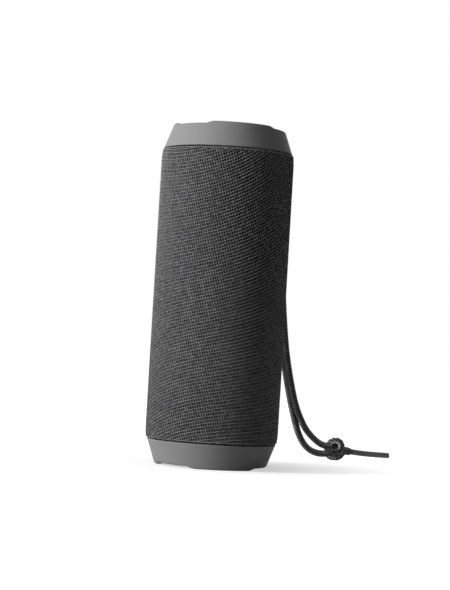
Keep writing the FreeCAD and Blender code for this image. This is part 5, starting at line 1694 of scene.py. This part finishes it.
class Icon(Enum):
    """What is raised on each key: signs that any maker uses."""

    POWER = "power"
    PAIRING = "pairing"
    MINUS = "volume_down"
    PLAY = "play"
    PLUS = "volume_up"

    def outlines(self) -> list[list[tuple[float, float]]]:
        """The sign's closed outlines, across and up, in millimetres.

        Returns:
            The outlines' points.
        """
        line = 0.42
        if self is Icon.POWER:
            return [arc_band((0.0, 0.0), 1.45, line, 125.0, 415.0), bar(0.0, 1.1, line, 1.5)]
        if self is Icon.PAIRING:
            source = (0.0, -1.2)
            waves = [arc_band(source, radius, line, 45.0, 135.0) for radius in (1.45, 2.6)]
            return [*waves, arc_points(source, line, 0.0, 345.0, 15)]
        if self is Icon.MINUS:
            return [bar(0.0, 0.0, 3.0, 0.48)]
        if self is Icon.PLAY:
            corners, inset = ((-1.0, -1.35), (1.45, 0.0), (-1.0, 1.35)), 0.85
            outline = []
            for (across, up), start in zip(corners, (180.0, -60.0, 60.0)):
                outline += arc_points((across * inset, up * inset), 0.22, start, start + 120.0, 4)
            return [outline]
        half, arm = 0.24, 1.5
        return [[
            (-half, arm), (-half, half), (-arm, half), (-arm, -half), (-half, -half), (-half, -arm),
            (half, -arm), (half, -half), (arm, -half), (arm, half), (half, half), (half, arm),
        ]]


def arc_band(
    centre: tuple[float, float], radius: float, width: float, start: float, end: float
) -> list[tuple[float, float]]:
    """Outline of a bent bar with round ends.

    Args:
        centre: Middle of its bend.
        radius: Radius of its middle line.
        width: Its width.
        start: Angle of one end, in degrees.
        end: Angle of the other end.

    Returns:
        The outline's points.
    """
    half = width / 2.0
    outline = []
    for reach, first, last, opening in (
        (radius + half, start, end, end), (radius - half, end, start, start + 180.0),
    ):
        outline += arc_points(centre, reach, first, last, 20)
        turn = math.radians(last)
        tip = (centre[0] + radius * math.cos(turn), centre[1] + radius * math.sin(turn))
        outline += arc_points(tip, half, opening, opening + 180.0, 6)[1:-1]
    return outline


def bar(across: float, up: float, width: float, height: float) -> list[tuple[float, float]]:
    """Outline of a straight bar with round ends along its longer side.

    Args:
        across: Its middle, across.
        up: Its middle, up.
        width: Its width.
        height: Its height.

    Returns:
        The outline's points.
    """
    half = min(width, height) / 2.0
    reach, rise = width / 2.0 - half, height / 2.0 - half
    start = -90.0 if width >= height else 0.0
    first = arc_points((across + reach, up + rise), half, start, start + 180.0, 6)
    return first + arc_points((across - reach, up - rise), half, start + 180.0, start + 360.0, 6)


@dataclass
class Key:
    """One soft key in the spine, domed, with a raised sign."""

    icon: Icon
    height: float
    radius: float = 4.2
    flange_radius: float = 5.0
    flange: float = 0.8
    flange_chamfer: float = 0.1
    edge: float = 0.75
    top: float = 38.5
    dish: float = 0.3
    relief: float = 0.16

    def build(self) -> None:
        """Makes the key in place of the plain one."""
        name = self.icon.value
        low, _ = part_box(f"{name}_button")
        key = turned(
            f"{name}_key_cap", self.section(low.y / MM), [BUTTON_RUBBER, ICON_PRINT],
            lying(self.height, -1.0), steps=64,
        )
        self.add_sign(key)
        stand_in(key, f"{name}_key", f"{name}_button")

    def section(self, low: float) -> list[tuple[float, float]]:
        """Half the key's outline: flange, wall, rounded edge and dished top.

        Args:
            low: Level of the flange's underside.

        Returns:
            Radius and level of each corner.
        """
        rim, cut, top = self.flange_radius, self.flange_chamfer, self.top
        shoulder = arc_points((self.radius - self.edge, top - self.edge), self.edge, 0.0, 90.0, 6)
        return [
            (0.0, low), (rim - cut, low), (rim, low + cut), (rim, low + 0.7), (rim - cut, low + self.flange),
            (self.radius, low + self.flange), *shoulder, (2.4, top - self.dish * 0.45),
            (1.2, top - self.dish * 0.85), (0.0, top - self.dish),
        ]

    def add_sign(self, key: bpy.types.Object) -> None:
        """Raises the sign on the key's top.

        Args:
            key: The key's piece.
        """
        work = bmesh.new()
        work.from_mesh(key.data)
        face = self.top + self.relief
        for outline in self.icon.outlines():
            count = len(outline)
            across, up = (sum(values) / count for values in zip(*outline))
            rings = [
                [
                    work.verts.new(Vector((
                        -(across + (x - across) * shrink), level, self.height + up + (y - up) * shrink,
                    )) * MM)
                    for x, y in outline
                ]
                for level, shrink in ((self.top - 0.6, 1.0), (face - 0.14, 1.0), (face - 0.04, 0.97))
            ]
            fresh = [
                work.faces.new((below[step - 1], below[step], above[step], above[step - 1]))
                for below, above in zip(rings, rings[1:])
                for step in (*range(1, count), 0)
            ]
            fresh += [work.faces.new(rings[-1]), work.faces.new(list(reversed(rings[0])))]
            bmesh.ops.recalc_face_normals(work, faces=fresh)
            for made in fresh:
                made.material_index = 1
        work.to_mesh(key.data)
        work.free()
        smooth(key.data, 35.0)


@dataclass
class ControlSpine:
    """The rubber strip down the back with its keys, status light, port flap and strap bay."""

    key_heights: tuple[float, ...] = (141.0, 128.5, 116.0, 103.5, 91.0)
    light_height: float = 79.0
    light_radius: float = 1.4

    def build(self) -> None:
        """Makes the strip and everything in it."""
        for node, name, body in (
            ("control_spine", "spine_strip", "housing"), ("port_flap", "port_flap_cover", "flap"),
        ):
            stand_in(softened(node, name, SPINE_RUBBER), body, node)
        for icon, height in zip(Icon, self.key_heights):
            Key(icon, height).build()
        stand_in(self.lens(), "housing", "status_light")

    def lens(self) -> bpy.types.Object:
        """The round-topped light pipe.

        Returns:
            The piece.
        """
        base, top = (corner.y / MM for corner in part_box("status_light"))
        section = [(0.0, base), (self.light_radius, base), (self.light_radius, top - 0.25)]
        section += arc_points((self.light_radius - 0.3, top - 0.25), 0.3, 0.0, 80.0, 4)
        section += [(0.6, top + 0.1), (0.0, top + 0.12)]
        return turned("status_light_lens", section, [LENS], lying(self.light_height, -1.0), steps=40)


class Innards:
    """Finishes of the CAD pieces that keep their shape."""

    finishes: dict[Finish, tuple[str, ...]] = {
        HOUSING: ("front_shell", "rear_shell", "grille_cage", "battery_holder"),
        GASKET: ("shell_seal", "radiator_seals"),
        PLATED_STEEL: ("cord_bar",),
        STEEL: ("case_screws", "driver_screws", "radiator_screws", "flap_pin"),
        BASKET_STEEL: ("lower_driver_basket", "upper_driver_basket"),
        MOTOR_STEEL: ("lower_driver_magnet", "upper_driver_magnet", "lower_driver_yoke", "upper_driver_yoke"),
        CONE_METAL: (
            "lower_driver_cone", "upper_driver_cone", "lower_driver_dust_cap", "upper_driver_dust_cap",
        ),
        COPPER: ("lower_driver_coil", "upper_driver_coil"),
        WEIGHT_STEEL: ("lower_radiator_weight", "upper_radiator_weight"),
        FRAME_PLASTIC: ("lower_radiator_frame", "upper_radiator_frame"),
        BOARD: ("main_board", "button_board", "port_board"),
        CHIP: ("board_chips", "tact_switches", "aux_socket"),
        SOCKET: ("usb_socket",),
        WRAP: ("battery_cells",),
        LEAD: ("internal_leads",),
    }

    @classmethod
    def dress(cls) -> None:
        """Gives every CAD piece that still shows its finish."""
        for finish, nodes in cls.finishes.items():
            for node in nodes:
                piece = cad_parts[node]
                if not piece.material_slots:
                    piece.data.materials.append(None)
                for slot in piece.material_slots:
                    slot.material = finish.material()
                LOG.info("%s: %s", node, finish.name)


@dataclass
class Viewpoint:
    """The camera, low and level with the lower half, leaning slightly."""

    azimuth: float = VIEW_AZIMUTH
    distance: float = 1.0418
    height: float = 0.0779
    yaw: float = 0.0029
    pitch: float = 0.0212
    roll: float = 0.0589
    lens: float = 108.8

    def build(self) -> None:
        """Makes the camera and gives it to the scene."""
        turn = math.radians(self.azimuth)
        heading = Matrix.Rotation(turn, 3, "Z")
        level, lift = math.cos(self.pitch), math.sin(self.pitch)
        forward = heading @ Vector((math.sin(self.yaw) * level, math.cos(self.yaw) * level, lift))
        side = heading @ Vector((math.cos(self.yaw), -math.sin(self.yaw), 0.0))
        lift = side.cross(forward)
        right = side * math.cos(self.roll) + lift * math.sin(self.roll)
        above = lift * math.cos(self.roll) - side * math.sin(self.roll)
        place = Vector((math.sin(turn) * self.distance, -math.cos(turn) * self.distance, self.height))
        camera = bpy.data.cameras.new("studio_camera")
        camera.lens = self.lens
        camera.sensor_width = 36.0
        camera.clip_start, camera.clip_end = 0.01, 50.0
        pose = Matrix((right, above, -forward)).transposed().to_4x4()
        pose.translation = place
        bpy.context.scene.camera = new_piece("studio_camera", camera)
        bpy.context.scene.camera.matrix_world = pose


@dataclass
class Studio:
    """Pale floor with painted shade round the base, a white world, one large soft key from the left, and a
    weak fill.
    """

    azimuth: float = VIEW_AZIMUTH
    floor_half: float = 4.0
    floor_cells: int = 8
    floor_shades: tuple[float, float] = (0.54, 0.56)
    # Glow near the base, kept low as painted shade round it.
    painted_shade_glow: float = 0.56
    # Distances from the axis over which the painted shade fades into full glow, in metres.
    painted_shade_reach: tuple[float, float] = (0.035, 0.13)
    world_light: float = 0.02
    rays: tuple[str, str, str] = ("Camera", "Glossy", "Transmission")

    def build(self) -> None:
        """Makes the floor, the world and the lamps."""
        self.floor()
        self.world()
        self.lamp("key_left", (-0.92, 0.45, 0.22), 1.15, (0.45, 0.9), 16.0)
        self.lamp("soft_top", (-0.5, 0.4, 1.0), 1.1, (1.2, 1.2), 3.0)
        bpy.context.scene.view_settings.view_transform = "Standard"

    def floor(self) -> None:
        """The floor: its glow to the camera is weaker near the speaker's axis, a painted shade round the
        base, and full white farther out, where it paints over the object's shadow.
        """
        half, cells = self.floor_half, self.floor_cells
        row = cells + 1
        places = [half * (2.0 * step / cells - 1.0) for step in range(row)]
        starts = [along * row + across for along in range(cells) for across in range(cells)]
        mesh = bpy.data.meshes.new("studio_floor")
        mesh.from_pydata(
            [Vector((across, along, 0.0)) for along in places for across in places], [],
            [(start, start + 1, start + row + 1, start + row) for start in starts],
        )
        material = bpy.data.materials.new("pale_floor")
        material.use_nodes = True
        nodes = material.node_tree.nodes
        nodes.remove(nodes["Principled BSDF"])
        wiring = Wiring(material.node_tree)
        place = wiring.place()
        darker, paler = ((shade, shade, shade, 1.0) for shade in self.floor_shades)
        colour = wiring.mixed(wiring.noise(place, 30.0, 4.0), darker, paler)
        matt = wiring.node("ShaderNodeBsdfDiffuse", {"Color": colour, "Roughness": 0.6})
        away = wiring.take("ShaderNodeVectorMath", {0: place}, "Value", operation="LENGTH")
        # Painted shade and light: the weaker glow near the axis darkens the floor round the base, and the
        # full glow farther out hides the object's shadow there.
        strength = self.seen(wiring) * wiring.ranged(away, *self.painted_shade_reach, self.painted_shade_glow, 1.0)
        glow = wiring.node("ShaderNodeEmission", {"Color": (1.0, 1.0, 1.0, 1.0), "Strength": strength})
        blend = wiring.node("ShaderNodeAddShader", {0: matt, 1: glow})
        wiring.feed(nodes["Material Output"].inputs["Surface"], blend)
        mesh.materials.append(material)
        new_piece("studio_floor", mesh)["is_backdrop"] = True

    def seen(self, wiring: Wiring) -> Wire:
        """One for rays from the camera and their reflections, nothing for the light itself.

        Args:
            wiring: The material's nodes.

        Returns:
            The mask.
        """
        path = wiring.node("ShaderNodeLightPath")
        camera, glossy, through = (Wire(wiring, path.outputs[f"Is {ray} Ray"]) for ray in self.rays)
        return wiring.math("MINIMUM", camera + glossy + through, 1.0)

    def world(self) -> None:
        """A white surround that lights the object only weakly."""
        world = bpy.data.worlds.new("white_room")
        world.use_nodes = True
        wiring = Wiring(world.node_tree)
        backdrop = world.node_tree.nodes["Background"]
        backdrop.inputs["Color"].default_value = (1.0, 1.0, 1.0, 1.0)
        strength = wiring.ranged(self.seen(wiring), 0.0, 1.0, self.world_light, 1.0)
        wiring.feed(backdrop.inputs["Strength"], strength)
        bpy.context.scene.world = world

    def lamp(
        self, name: str, where: tuple[float, float, float], distance: float, size: tuple[float, float],
        power: float,
    ) -> None:
        """Adds one area lamp aimed at the middle of the speaker.

        Args:
            name: The lamp's name.
            where: Its direction: to the camera's right, toward the camera, and up.
            distance: How far away it is, in metres.
            size: Its width and height, in metres.
            power: Its power, in watts.
        """
        turn = math.radians(self.azimuth)
        right = Vector((math.cos(turn), math.sin(turn), 0.0))
        near = Vector((math.sin(turn), -math.cos(turn), 0.0))
        way = (right * where[0] + near * where[1] + Vector((0.0, 0.0, where[2]))).normalized()
        light = bpy.data.lights.new(name, "AREA")
        light.shape = "RECTANGLE"
        light.size, light.size_y = size
        light.energy = power
        made = new_piece(name, light)
        made.location = Vector((0.0, 0.0, MIDDLE)) + way * distance
        made.rotation_euler = (-way).to_track_quat("-Z", "Y").to_euler()


def write_sizes(first: object, last: object) -> None:
    """Puts the CAD box and the visual model's box into plain lists, which are not kept.

    Args:
        first: The box straight after the frame is loaded.
        last: The box of everything that is made.
    """
    boxes = {"cad": plain(first), "visual": plain(last)}


def plain(box: object) -> list[list[float]]:
    """A box as plain lists of numbers."""
    return [[float(value) for value in corner] for corner in box]


def main() -> None:
    """Builds the camera, the strap, the body and the stage in order."""
    logging.basicConfig(level=logging.INFO, format="%(name)s %(message)s")
    Viewpoint().build()
    WristStrap().build()
    WovenSleeve().build()
    for end in End:
        EndCap(end).build()
        PassiveRadiator(end).build()
    Driver("lower", 66.0).build()
    Driver("upper", 132.0).build()
    ControlSpine().build()
    Innards.dress()
    Studio().build()
    write_sizes(CAD_BOX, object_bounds())


if __name__ == "__main__":
    main()
